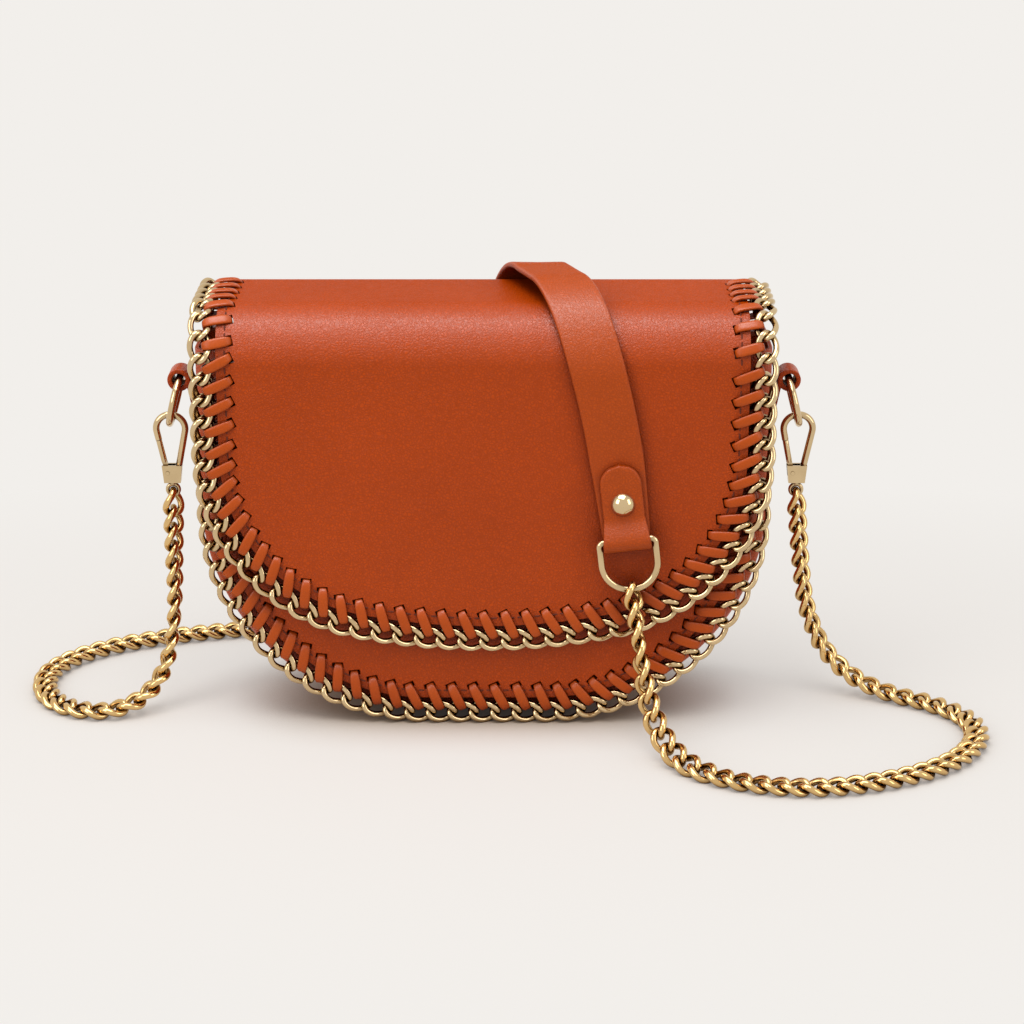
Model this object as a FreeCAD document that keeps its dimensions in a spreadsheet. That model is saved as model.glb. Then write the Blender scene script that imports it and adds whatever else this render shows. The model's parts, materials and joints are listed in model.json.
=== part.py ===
import FreeCAD, Part
import math
import os

from FreeCAD import Placement, Rotation, Vector

# A half-moon leather shoulder bag trimmed with laced curb chain, with a chain and leather strap.
# Millimetres. X runs across the bag, Y from front to back and Z up.
# The origin is under the middle of the bag, on the surface that it stands on.

doc = FreeCAD.newDocument("chain_shoulder_bag")
sheet = doc.addObject("Spreadsheet::Sheet", "Sizes")

SIZES = [
    # Width, which the panels take from the flap
    ("flap_half_width", 99.0),
    ("flap_overhang", 0.4),
    # Panels and gusset
    ("panel_half_width", "=flap_half_width - flap_overhang"),
    ("panel_top", 148.0),
    ("panel_corner", 75.5),
    ("panel_leather", 2.2),
    ("tub_depth", 54.0),
    ("gusset_leather", 1.6),
    ("flange_width", 9.5),
    ("flange_gap", 3.9),
    ("gusset_corner", 8.0),
    ("lining_wall", 1.0),
    ("lining_clearance", 0.8),
    # Flap
    ("flap_bottom", 43.0),
    ("flap_bottom_bow", 239.5),
    ("flap_corner", 64.0),
    ("flap_top", 166.0),
    ("flap_leather", 2.2),
    ("flap_front_bend", 20.0),
    ("flap_rear_bend", 12.0),
    ("flap_gap", 0.4),
    ("hinge_bead", 1.6),
    ("hinge_clearance", 0.3),
    ("flap_lining_wall", 0.8),
    ("flap_lining_inset", 10.0),
    ("flap_lining_top", 138.0),
    # Magnetic closure
    ("magnet_radius", 9.0),
    ("magnet_height", 88.0),
    ("magnet_air_gap", 0.4),
    ("lower_magnet_share", 0.55),
    ("washer_radius", 7.0),
    ("washer_wall", 0.5),
    # Trim chain
    ("trim_link_width", 9.0),
    ("trim_wire", 1.95),
    ("trim_pitch", 8.3),
    ("trim_edge_gap", 1.5),
    ("trim_end_drop", 8.0),
    ("link_slack", 0.5),
    ("link_twist", 45.0),
    # Lacing
    ("lace_width", 3.1),
    ("lace_wall", 1.0),
    ("lace_lift", 0.85),
    ("lace_hole_inset", 5.2),
    ("lace_slant", 4.6),
    ("lace_clearance", 0.25),
    ("slot_clearance", 0.55),
    ("lace_bend", 0.4),
    # Side tabs and rings
    ("tab_leather", 1.8),
    ("tab_width", 10.0),
    ("tab_loop_height", 132.0),
    ("tab_bend_drop", 18.0),
    ("tab_foot_drop", 34.0),
    ("tab_loop_reach", 7.9),
    ("tab_loop_bore", 2.6),
    ("ring_radius", 9.8),
    ("ring_wire", 2.8),
    ("ring_tilt", 14.0),
    ("ring_sit", 0.8),
    # Snap hooks
    ("hook_wire", 2.6),
    ("hook_bow", 5.6),
    ("hook_bow_height", 14.7),
    ("hook_foot", 2.7),
    ("hook_nose_height", 10.2),
    ("hook_base_top", 3.9),
    ("hook_base_bottom", 3.2),
    ("hook_base_height", 7.0),
    ("hook_base_depth", 4.2),
    ("hook_seat", 0.15),
    ("hook_hang_gap", 0.45),
    ("gate_wire", 2.3),
    ("gate_tail", 1.8),
    ("gate_clearance", 0.25),
    ("gate_pivot_drop", 2.9),
    ("gate_pivot_side", 1.7),
    ("gate_pin_wire", 1.4),
    ("gate_pin_head", 0.3),
    ("gate_knuckle", 1.35),
    ("gate_neck", 0.95),
    ("gate_opening", 25.0),
    ("eye_radius", 2.2),
    ("eye_wire", 1.6),
    ("eye_stem", 2.2),
    ("eye_stem_depth", 1.8),
    # Shoulder strap
    ("strap_width", 20.4),
    ("strap_end_width", 18.0),
    ("strap_leather", 2.4),
    ("strap_lift", 6.0),
    ("strap_stand_off", 1.0),
    ("strap_front_x", 54.0),
    ("strap_slope", 0.245),
    ("strap_sway", 0.125),
    ("strap_fold_height", 79.5),
    ("strap_front_bend", 30.0),
    ("strap_rear_bend", 21.0),
    ("strap_taper", 30.0),
    ("strap_tab_length", 30.0),
    ("strap_tab_rise", 9.0),
    ("strap_rivet_height", 14.5),
    ("strap_ring_wire", 2.8),
    ("strap_ring_corner", 1.7),
    ("strap_ring_drop", 19.5),
    ("strap_ring_clearance", 0.2),
    ("rivet_shank", 3.2),
    ("rivet_head", 9.0),
    ("rivet_dome", 2.7),
    ("rivet_flange", 6.4),
    ("rivet_flange_wall", 0.6),
    # Strap chains
    ("strap_link_width", 9.8),
    ("strap_wire", 2.3),
    ("strap_pitch", 7.3),
    ("flap_links", 3),
    ("span_links", 8),
    ("chain_turn_links", 12),
    ("end_link_facing", 145.0),
    ("end_link_slack", 10.0),
]

# Where the right chain runs, from the front strap ring over the floor to the right hook
RIGHT_ROUTE = [
    (57.6, -41, 49),
    (59.4, -44.5, 34.5),
    (62, -50.5, 20.5),
    (66.2, -59, 9.8),
    (73.4, -70.5, 3.6),
    (86.7, -82.6, 2.7),
    (104.8, -90.2, 2.7),
    (126, -91.7, 2.7),
    (147.2, -86.1, 2.7),
    (166.4, -76.6, 2.7),
    (182, -62.4, 2.7),
    (190.1, -44.8, 2.7),
    (188.6, -27.1, 2.7),
    (176.5, -13, 2.7),
    (160.3, -3.5, 2.9),
    (146.3, 2.6, 7.6),
    (135.5, 4.8, 17.8),
    (128.6, 4.4, 32.5),
    (124.8, 3.7, 50),
]
# Where the left chain runs, from the left hook over the floor and behind the bag to the rear strap ring
LEFT_ROUTE = [
    (-122.3, 2.4, 63),
    (-122.2, 0.2, 45),
    (-123.2, -4, 29),
    (-126.2, -9.3, 15.5),
    (-133.6, -16.5, 6.6),
    (-145.9, -21.6, 2.9),
    (-160, -20, 2.7),
    (-171.1, -11, 2.7),
    (-177, 2.1, 2.7),
    (-178, 18.3, 2.7),
    (-171.1, 33.4, 2.7),
    (-158, 46, 2.7),
    (-139.3, 56.1, 2.7),
    (-116.1, 63.7, 2.7),
    (-90.9, 68.7, 2.7),
    (-64.7, 70, 2.7),
    (-43, 66.8, 3.1),
    (-27, 61, 8.2),
    (-15.8, 53, 19),
    (-8.6, 41.5, 38.5),
]
CORD_BEND = 0.45
BEND_STEPS = 12
RUN_STEPS = 6
HALF_TURN = 180

for row, (alias, amount) in enumerate(SIZES, start=1):
    sheet.set(f"A{row}", alias)
    sheet.set(f"B{row}", str(amount))
    sheet.setAlias(f"B{row}", alias)
doc.recompute()


def size(alias):
    return float(getattr(sheet, alias))


X_AXIS = Vector(1, 0, 0)
Y_AXIS = Vector(0, 1, 0)
Z_AXIS = Vector(0, 0, 1)

# Sizes that follow from the driving ones
trim_offset = size("trim_edge_gap") + size("trim_link_width") / 2
edge_reach = size("trim_edge_gap") + size("trim_link_width")
panel_bottom = edge_reach
panel_flat = size("panel_half_width") - size("panel_corner")
panel_middle = size("tub_depth") / 2 + size("panel_leather") / 2
lace_rise = size("panel_leather") / 2 + size("lace_lift")
lace_reach = lace_rise + size("lace_wall")
flap_middle = panel_middle + 2 * lace_reach + size("flap_gap")
tub_shift = (flap_middle - panel_middle) / 2
front_middle = tub_shift - panel_middle
back_middle = tub_shift + panel_middle
flap_front = tub_shift - flap_middle
hinge_height = size("panel_top") + size("hinge_clearance") + size("hinge_bead")
gusset_side = size("panel_half_width") + edge_reach


def vector(x, y, z):
    return Vector(float(x), float(y), float(z))


def in_front_plane(x, z):
    return vector(x, 0, z)


def arc_between(center, radius, start, end):
    """A circular arc in the XZ plane, the short way round from start to end."""
    middle = ((start - center) + (end - center)).normalize() * radius + center
    return Part.Arc(start, middle, end).toShape()


def panel_outline(offset):
    """The panel's leather edge, moved outwards: down the left side, round the bottom, up the right."""
    half = size("panel_half_width") + offset
    radius = size("panel_corner") + offset
    low = panel_bottom - offset
    turn = panel_bottom + size("panel_corner")
    top = size("panel_top")
    left_center = in_front_plane(-panel_flat, turn)
    right_center = in_front_plane(panel_flat, turn)
    corners = [
        in_front_plane(-half, top),
        in_front_plane(-half, turn),
        in_front_plane(-panel_flat, low),
        in_front_plane(panel_flat, low),
        in_front_plane(half, turn),
        in_front_plane(half, top),
    ]
    return [
        Part.LineSegment(corners[0], corners[1]).toShape(),
        arc_between(left_center, radius, corners[1], corners[2]),
        Part.LineSegment(corners[2], corners[3]).toShape(),
        arc_between(right_center, radius, corners[3], corners[4]),
        Part.LineSegment(corners[4], corners[5]).toShape(),
    ]


def flap_outline(offset, top):
    """The flap's leather edge, moved outwards, from the left side round the bowed bottom to the right."""
    half = size("flap_half_width") + offset
    corner = size("flap_corner")
    bow = size("flap_bottom_bow")
    bow_center = in_front_plane(0, size("flap_bottom") + bow)
    side = size("flap_half_width") - corner
    turn = bow_center.z - math.sqrt((bow - corner) ** 2 - side**2)
    left_center = in_front_plane(-side, turn)
    right_center = in_front_plane(side, turn)
    left_meet = bow_center + (left_center - bow_center).normalize() * (bow + offset)
    right_meet = bow_center + (right_center - bow_center).normalize() * (bow + offset)
    left_side = in_front_plane(-half, turn)
    right_side = in_front_plane(half, turn)
    return [
        Part.LineSegment(in_front_plane(-half, top), left_side).toShape(),
        arc_between(left_center, corner + offset, left_side, left_meet),
        arc_between(bow_center, bow + offset, left_meet, right_meet),
        arc_between(right_center, corner + offset, right_meet, right_side),
        Part.LineSegment(right_side, in_front_plane(half, top)).toShape(),
    ]


def closed_over_top(edges):
    """The outline with a straight mouth, as a wire."""
    start = edges[0].valueAt(edges[0].FirstParameter)
    end = edges[-1].valueAt(edges[-1].LastParameter)
    return Part.Wire(edges + [Part.LineSegment(end, start).toShape()])


def sketch_geometry(edges, to_sketch):
    """Edges as sketch geometry, with each point turned into sketch coordinates by to_sketch."""
    shapes = []
    for edge in edges:
        first, last = edge.ParameterRange
        start = to_sketch(edge.valueAt(first))
        end = to_sketch(edge.valueAt(last))
        if edge.Curve.TypeId == "Part::GeomLine":
            shapes.append(Part.LineSegment(start, end))
        else:
            middle = to_sketch(edge.valueAt((first + last) / 2))
            shapes.append(Part.Arc(start, middle, end))
    return shapes


def front_sketch_point(point):
    return vector(point.x, point.z, 0)


def polygon(points):
    """Line segments through (x, y) points of a sketch, closed."""
    corners = [vector(x, y, 0) for x, y in points]
    return [Part.LineSegment(a, b) for a, b in zip(corners, corners[1:] + corners[:1])]


def circle(x, y, radius):
    return Part.Circle(vector(x, y, 0), Z_AXIS, radius)


def new_body(name):
    return doc.addObject("PartDesign::Body", name)


def add_sketch(body, role, name, geometry):
    """A sketch on one of the body's own origin planes."""
    plane = next(o for o in body.Origin.OriginFeatures if o.Role == role)
    sketch = body.newObject("Sketcher::SketchObject", name)
    sketch.AttachmentSupport = (plane, "")
    sketch.MapMode = "FlatFace"
    for shape in geometry:
        sketch.addGeometry(shape, False)
    return sketch


def add_pad(body, sketch, name, length, both_ways=False, reverse=False):
    """A pad whose length is an expression of the sheet."""
    pad = body.newObject("PartDesign::Pad", name)
    pad.Profile = sketch
    pad.setExpression("Length", length)
    if both_ways:
        pad.SideType = "Symmetric"
    pad.Reversed = reverse
    body.Tip = pad
    return pad


def add_pocket(body, sketch, name, length):
    """A pocket to both sides of its sketch, whose length is an expression of the sheet."""
    pocket = body.newObject("PartDesign::Pocket", name)
    pocket.Profile = sketch
    pocket.SideType = "Symmetric"
    pocket.setExpression("Length", length)
    body.Tip = pocket
    return pocket


def add_shape(name, shape):
    feature = doc.addObject("Part::Feature", name)
    feature.Shape = shape
    return feature


def add_cut(name, base, tool):
    cut = doc.addObject("Part::Cut", name)
    cut.Base = base
    cut.Tool = tool
    return cut


NODES = []


def node(label, source):
    """Names the object that makes one sub-part."""
    source.Label = label
    NODES.append(source)
    return source


# Curb links


def biarc(p0, t0, p1, t1):
    """Two tangent arcs from p0 to p1, each as (start, start tangent, end)."""
    span = p1 - p0
    both = t0 + t1
    spread = 2 * (1 - t0.dot(t1))
    along = span.dot(both)
    reach = (-along + math.sqrt(along * along + spread * span.dot(span))) / spread
    middle = (p0 + p1 + (t0 - t1) * reach) * 0.5
    meet = (middle - p0) - t0 * reach
    turn = meet.normalize()
    return [(p0, t0, middle), (middle, turn, p1)]


def wire_arc(start, tangent, end, radius):
    """A piece of round wire along the arc that leaves start along tangent and ends at end."""
    chord = end - start
    sideways = chord - tangent * chord.dot(tangent)
    inward = sideways.normalize()
    bend = chord.dot(chord) / (2 * chord.dot(inward))
    center = start + inward * bend
    axis = tangent.cross(inward)
    angle = 2 * math.degrees(math.atan2(chord.dot(inward), chord.dot(tangent)))
    section = Part.Face(Part.Wire(Part.makeCircle(radius, start, tangent)))
    return section.revolve(center, axis, angle)


def link_length(pitch, wire):
    return pitch + 2 * wire + size("link_slack")


def curb_link(length, width, wire, twist):
    """One twisted oval link, along X, lying flat in XY."""
    a = (length - wire) / 2
    b = (width - wire) / 2
    lean = math.radians(twist)

    def point(t):
        turn = lean * math.cos(t)
        return vector(a * math.cos(t), b * math.sin(t) * math.cos(turn), b * math.sin(t) * math.sin(turn))

    def tangent(t):
        step = 1e-4
        return (point(t + step) - point(t - step)).normalize()

    quarters = [n * math.pi / 2 for n in range(5)]
    pieces = []
    for t0, t1 in zip(quarters, quarters[1:]):
        for start, direction, end in biarc(point(t0), tangent(t0), point(t1), tangent(t1)):
            pieces.append(wire_arc(start, direction, end, wire / 2))
    return pieces[0].multiFuse(pieces[1:]).removeSplitter().Solids[0]


def axes_rotation(x, y, z):
    """The rotation that turns the three axes into x, y and z."""
    rows = [(x.x, y.x, z.x, 0), (x.y, y.y, z.y, 0), (x.z, y.z, z.z, 0), (0, 0, 0, 1)]
    return Rotation(FreeCAD.Matrix(*[number for row in rows for number in row]))


def frame_placement(origin, along, up):
    """A placement whose X axis is along and whose Z axis is as near to up as it can be."""
    x = Vector(along).normalize()
    z = (up - x * up.dot(x)).normalize()
    return Placement(origin, axes_rotation(x, z.cross(x), z))


def placed(shape, placement):
    copy = shape.copy()
    copy.Placement = placement.multiply(copy.Placement)
    return copy


def place_along(edges, distance):
    """The point and tangent at a distance along joined edges."""
    rest = distance
    for edge in edges:
        if rest <= edge.Length or edge is edges[-1]:
            at = edge.getParameterByLength(min(rest, edge.Length))
            return edge.valueAt(at), edge.tangentAt(at)
        rest -= edge.Length


def trimmed_stations(edges, count, margin):
    """Points and tangents at even steps along joined edges, clear of both ends by margin."""
    step = (sum(edge.Length for edge in edges) - 2 * margin) / (count - 1)
    return [place_along(edges, margin + n * step) for n in range(count)]


def stations(edges, count):
    """Points and tangents at even steps along joined edges, half a step in from each end."""
    return trimmed_stations(edges, count, sum(edge.Length for edge in edges) / count / 2)


# Trim paths, as link places with the direction along the chain and the direction that the leather faces


def panel_trim(y, facing):
    """Where the links sit round a panel that faces along facing."""
    drop = size("trim_end_drop")
    edges = panel_outline(trim_offset)
    low_left = in_front_plane(edges[0].valueAt(edges[0].FirstParameter).x, size("panel_top") - drop)
    low_right = in_front_plane(-low_left.x, low_left.z)
    edges[0] = Part.LineSegment(low_left, edges[0].valueAt(edges[0].LastParameter)).toShape()
    edges[-1] = Part.LineSegment(edges[-1].valueAt(edges[-1].FirstParameter), low_right).toShape()
    count = round(sum(edge.Length for edge in edges) / size("trim_pitch"))
    turn = 1 if facing.y < 0 else -1
    return [
        (point + vector(0, y, 0), along * turn, facing, (along * turn).cross(facing), size("lace_slant"))
        for point, along in stations(edges, count)
    ]


def flap_trim():
    """Where the links sit on the flap: forward over the left side of the top, round the front and back."""
    half = size("flap_half_width") + trim_offset
    mid_bend = size("flap_front_bend") - size("flap_leather") / 2
    bend_y = flap_front + mid_bend
    bend_z = size("flap_top") - size("flap_front_bend")
    top_z = size("flap_top") - size("flap_leather") / 2
    rear_y = back_middle - size("flap_rear_bend")
    slope = math.sqrt(0.5) * mid_bend
    front = [edge.translated(vector(0, flap_front, 0)) for edge in flap_outline(trim_offset, bend_z)]
    left_top = Part.LineSegment(vector(-half, rear_y, top_z), vector(-half, bend_y, top_z)).toShape()
    left_bend = Part.Arc(
        vector(-half, bend_y, top_z),
        vector(-half, bend_y - slope, bend_z + slope),
        vector(-half, flap_front, bend_z),
    ).toShape()
    right_bend = Part.Arc(
        vector(half, flap_front, bend_z),
        vector(half, bend_y - slope, bend_z + slope),
        vector(half, bend_y, top_z),
    ).toShape()
    right_top = Part.LineSegment(vector(half, bend_y, top_z), vector(half, rear_y, top_z)).toShape()
    edges = [left_top, left_bend] + front + [right_bend, right_top]
    count = round(sum(edge.Length for edge in edges) / size("trim_pitch"))
    found = []
    for point, along in stations(edges, count):
        if point.z > bend_z:
            outward = vector(math.copysign(1, point.x), 0, 0)
            slant = size("lace_slant") / 2
        else:
            outward = along.cross(-Y_AXIS)
            slant = size("lace_slant")
        found.append((point, along, outward.cross(along), outward, slant))
    return found


def trim_chain(name, places):
    link = curb_link(
        link_length(size("trim_pitch"), size("trim_wire")),
        size("trim_link_width"),
        size("trim_wire"),
        size("link_twist"),
    )
    links = [placed(link, frame_placement(point, along, facing)) for point, along, facing, *rest in places]
    return node(name, add_shape(name, Part.makeCompound(links)))


# Lacing


def rounded_rectangle(low_x, low_z, high_x, high_z, radius):
    """A closed wire in the XZ plane with round corners."""
    corners = [(high_x, low_z), (high_x, high_z), (low_x, high_z), (low_x, low_z)]
    inside = [
        (high_x - radius, low_z + radius),
        (high_x - radius, high_z - radius),
        (low_x + radius, high_z - radius),
        (low_x + radius, low_z + radius),
    ]
    edges = []
    for n, (corner, center) in enumerate(zip(corners, inside)):
        flat = (corner[0], center[1])
        upright = (center[0], corner[1])
        start, end = (upright, flat) if n % 2 == 0 else (flat, upright)
        spots = [in_front_plane(*spot) for spot in (center, start, end)]
        edges.append(arc_between(spots[0], radius, spots[1], spots[2]))
    joined = []
    for arc, following in zip(edges, edges[1:] + edges[:1]):
        run_start = arc.valueAt(arc.LastParameter)
        run_end = following.valueAt(following.FirstParameter)
        joined += [arc, Part.LineSegment(run_start, run_end).toShape()]
    return Part.Wire(joined)


lace_lean = math.atan(size("lace_slant") / (size("lace_hole_inset") + trim_offset))
lace_half = (size("lace_wall") * math.cos(lace_lean) + size("lace_width") * math.sin(lace_lean)) / 2
lace_end = size("trim_edge_gap") + size("trim_wire") + size("lace_clearance") + lace_half
stitch_run = size("lace_hole_inset") + lace_end


def lace_stitch(depth_below, slant):
    """One turn of flat lace, from the hole at the origin along X to the link, round the leather's edge."""
    half = size("lace_wall") / 2
    bend = size("lace_bend")
    length = math.hypot(stitch_run, slant)
    outer = rounded_rectangle(
        -half, -depth_below - size("lace_wall"), length + half, lace_reach, bend + size("lace_wall")
    )
    inner = rounded_rectangle(half, -depth_below, length - half, lace_rise, bend)
    band = Part.Face(outer).cut(Part.Face(inner)).Faces[0]
    return band.extrude(Y_AXIS * size("lace_width")).translated(Y_AXIS * (-size("lace_width") / 2))


def lace_slot(depth_below):
    """The cut that one stitch passes through, at the origin."""
    clear = size("slot_clearance")
    wide = size("lace_width") + 2 * clear
    thick = size("lace_wall") + 2 * clear
    tall = depth_below + lace_rise
    return Part.makeBox(thick, wide, tall, vector(-thick / 2, -wide / 2, -depth_below))


def stitch_places(places):
    """Where each stitch starts, and the way it runs to its link."""
    found = []
    for point, along, facing, outward, slant in places:
        hole = point - outward * (trim_offset + size("lace_hole_inset")) - along * slant
        run = outward * stitch_run + along * slant
        found.append(frame_placement(hole, run, facing))
    return found


def lacing(name, places, depth_below):
    patterns = {slant: lace_stitch(depth_below, slant) for *rest, slant in places}
    turns = [placed(patterns[spot[-1]], at) for spot, at in zip(places, stitch_places(places))]
    return node(name, add_shape(name, Part.makeCompound(turns)))


def lace_slots(name, places, depth_below):
    slot = lace_slot(depth_below)
    cuts = [placed(slot, at) for at in stitch_places(places)]
    return add_shape(name, Part.makeCompound(cuts))


front_places = panel_trim(front_middle, -Y_AXIS)
back_places = panel_trim(back_middle, Y_AXIS)
flap_places = flap_trim()
flange_depth = size("panel_leather") / 2 + size("gusset_leather") + size("lace_clearance")
flap_lace_depth = lace_rise

front_slots = lace_slots("front_slots", front_places, flange_depth)
back_slots = lace_slots("back_slots", back_places, flange_depth)
flap_slots = lace_slots("flap_slots", flap_places, flap_lace_depth)

trim_chain("front_trim_chain", front_places)
trim_chain("back_trim_chain", back_places)
trim_chain("flap_trim_chain", flap_places)
lacing("front_lacing", front_places, flange_depth)
lacing("back_lacing", back_places, flange_depth)
lacing("flap_lacing", flap_places, flap_lace_depth)

# Panels


def panel(name, middle, slots):
    """A flat half-moon panel with its row of lacing slots."""
    body = new_body(name + "_blank")
    outline = closed_over_top(panel_outline(0)).Edges
    sketch = add_sketch(body, "XZ_Plane", name + "_outline", sketch_geometry(outline, front_sketch_point))
    add_pad(body, sketch, name + "_pad", "Sizes.panel_leather", both_ways=True)
    body.Placement.Base = vector(0, middle, 0)
    return node(name, add_cut(name, body, slots))


panel("front_panel", front_middle, front_slots)
panel("back_panel", back_middle, back_slots)


def gusset_section():
    """Half of the gusset's section, as (outward, across) points with the bulge's round corner as an arc."""
    wall = size("gusset_leather")
    half = size("tub_depth") / 2
    inner = -size("flange_width")
    fold = half - wall - size("flange_gap")
    corner = size("gusset_corner")
    bulge = edge_reach
    return wall, half, inner, fold, corner, bulge


def gusset():
    """The side and bottom wall: a laced flange at each panel, and a wall that bulges out between them."""
    wall, half, inner, fold, corner, bulge = gusset_section()
    body = new_body("gusset_blank")
    path_edges = panel_outline(0)
    path = add_sketch(body, "XZ_Plane", "gusset_path", sketch_geometry(path_edges, front_sketch_point))
    start = -size("panel_half_width")

    def corner_arc(radius, center_out, center_across, first, last):
        """An arc of the section, in degrees from straight outwards."""
        spots = [math.radians(a) for a in (first, (first + last) / 2, last)]
        outs = [start - center_out - radius * math.cos(a) for a in spots]
        acrosses = [center_across + radius * math.sin(a) for a in spots]
        return Part.Arc(*[vector(out, across, 0) for out, across in zip(outs, acrosses)])

    def line(a, b):
        return Part.LineSegment(vector(start - a[0], a[1], 0), vector(start - b[0], b[1], 0))

    low = bulge - corner
    side = fold - corner
    outer = [
        ((0, half), (0, half - wall)),
        ((0, half - wall), (inner + wall, half - wall)),
        ((inner + wall, half - wall), (inner + wall, fold)),
        ((inner + wall, fold), (low, fold)),
    ]
    hidden = [
        ((low, fold - wall), (inner, fold - wall)),
        ((inner, fold - wall), (inner, half)),
        ((inner, half), (0, half)),
    ]
    geometry = []
    for sign in (1, -1):
        for a, b in outer + hidden:
            geometry.append(line((a[0], sign * a[1]), (b[0], sign * b[1])))
    geometry.append(corner_arc(corner, low, side, 90, 0))
    geometry.append(corner_arc(corner, low, -side, -90, 0))
    geometry.append(corner_arc(corner - wall, low, side, 90, 0))
    geometry.append(corner_arc(corner - wall, low, -side, -90, 0))
    geometry.append(line((bulge, side), (bulge, -side)))
    geometry.append(line((bulge - wall, side), (bulge - wall, -side)))
    profile = add_sketch(body, "XY_Plane", "gusset_profile", geometry)
    profile.AttachmentOffset = Placement(vector(0, 0, size("panel_top")), Rotation())
    pipe = body.newObject("PartDesign::AdditivePipe", "gusset_pipe")
    pipe.Profile = profile
    pipe.Spine = path
    body.Tip = pipe
    body.Placement.Base = vector(0, tub_shift, 0)
    both = doc.addObject("Part::MultiFuse", "gusset_slots")
    both.Shapes = [front_slots, back_slots]
    return node("gusset", add_cut("gusset", body, both))


gusset()


def lining():
    """The cloth tub inside, open at the top."""
    outside = -size("flange_width") - size("lining_clearance")
    inside = outside - size("lining_wall")
    body = new_body("lining")
    shell = closed_over_top(panel_outline(outside)).Edges
    outline = add_sketch(body, "XZ_Plane", "lining_outline", sketch_geometry(shell, front_sketch_point))
    add_pad(body, outline, "lining_pad", "Sizes.tub_depth - 2 * Sizes.lining_clearance", both_ways=True)
    hollow = closed_over_top(panel_outline(inside)).Edges
    cut = add_sketch(body, "XZ_Plane", "lining_hollow", sketch_geometry(hollow, front_sketch_point))
    depth = "Sizes.tub_depth - 2 * Sizes.lining_clearance - 2 * Sizes.lining_wall"
    add_pocket(body, cut, "lining_pocket", depth)
    body.Placement.Base = vector(0, tub_shift, 0)
    return node("lining", body)


lining()

# Flap


def flap():
    """The flap's leather: up from the hinge at the back, over the top and down the laced front."""
    half_wall = size("flap_leather") / 2
    top = size("flap_top")
    front_bend = size("flap_front_bend")
    rear_bend = size("flap_rear_bend")
    front_y = flap_front + front_bend - half_wall
    rear_y = back_middle - rear_bend + half_wall
    front_z = top - front_bend
    rear_z = top - rear_bend
    low = size("flap_bottom")

    def bend(center_y, center_z, radius, side):
        slope = math.sqrt(0.5) * radius
        points = [(center_y, center_z + radius), (center_y + side * slope, center_z + slope)]
        points.append((center_y + side * radius, center_z))
        return Part.Arc(*[vector(y, z, 0) for y, z in points])

    def line(a, b):
        return Part.LineSegment(vector(a[0], a[1], 0), vector(b[0], b[1], 0))

    outside = flap_front - half_wall
    inside = flap_front + half_wall
    back_out = back_middle + half_wall
    back_in = back_middle - half_wall
    under = top - size("flap_leather")
    profile = [
        line((outside, low), (outside, front_z)),
        bend(front_y, front_z, front_bend, -1),
        line((front_y, top), (rear_y, top)),
        bend(rear_y, rear_z, rear_bend, 1),
        line((back_out, rear_z), (back_out, hinge_height)),
        line((back_out, hinge_height), (back_in, hinge_height)),
        line((back_in, hinge_height), (back_in, rear_z)),
        bend(rear_y, rear_z, rear_bend - size("flap_leather"), 1),
        line((rear_y, under), (front_y, under)),
        bend(front_y, front_z, front_bend - size("flap_leather"), -1),
        line((inside, front_z), (inside, low)),
        line((inside, low), (outside, low)),
    ]
    body = new_body("flap_blank")
    side_view = add_sketch(body, "YZ_Plane", "flap_profile", profile)
    add_pad(body, side_view, "flap_pad", "2 * Sizes.flap_half_width", both_ways=True)
    roll = [circle(back_middle, hinge_height, size("hinge_bead"))]
    bead = add_sketch(body, "YZ_Plane", "flap_bead", roll)
    add_pad(body, bead, "flap_bead_pad", "2 * Sizes.flap_half_width", both_ways=True)
    margin = size("flap_half_width")
    edges = flap_outline(0, front_z)
    turn_left = edges[1].valueAt(edges[1].FirstParameter)
    turn_right = edges[3].valueAt(edges[3].LastParameter)
    waste_corners = [
        turn_right,
        in_front_plane(turn_right.x + margin, turn_right.z),
        in_front_plane(turn_right.x + margin, low - margin),
        in_front_plane(turn_left.x - margin, low - margin),
        in_front_plane(turn_left.x - margin, turn_left.z),
        turn_left,
    ]
    waste = [Part.LineSegment(a, b).toShape() for a, b in zip(waste_corners, waste_corners[1:])]
    outline = edges[1:4] + waste
    cut = add_sketch(body, "XZ_Plane", "flap_outline", sketch_geometry(outline, front_sketch_point))
    add_pocket(body, cut, "flap_pocket", "4 * Sizes.tub_depth")
    return node("flap", add_cut("flap", body, flap_slots))


flap()


def flap_lining():
    """The backing on the inside of the flap, with a round hole for the magnet."""
    body = new_body("flap_lining")
    outline = flap_outline(-size("flap_lining_inset"), size("flap_lining_top"))
    geometry = sketch_geometry(closed_over_top(outline).Edges, front_sketch_point)
    geometry.append(circle(0, size("magnet_height"), size("magnet_radius") + size("flap_gap")))
    sketch = add_sketch(body, "XZ_Plane", "flap_lining_outline", geometry)
    add_pad(body, sketch, "flap_lining_pad", "Sizes.flap_lining_wall", reverse=True)
    body.Placement.Base = vector(0, flap_front + size("flap_leather") / 2, 0)
    return node("flap_lining", body)


flap_lining()


def disc(name, radius, thickness, y):
    """A round plate whose axis runs from front to back, with its front face at y."""
    plate = doc.addObject("Part::Cylinder", name)
    plate.setExpression("Radius", radius)
    plate.setExpression("Height", thickness)
    plate.Placement = Placement(vector(0, y, size("magnet_height")), Rotation(X_AXIS, -90))
    return node(name, plate)


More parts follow.
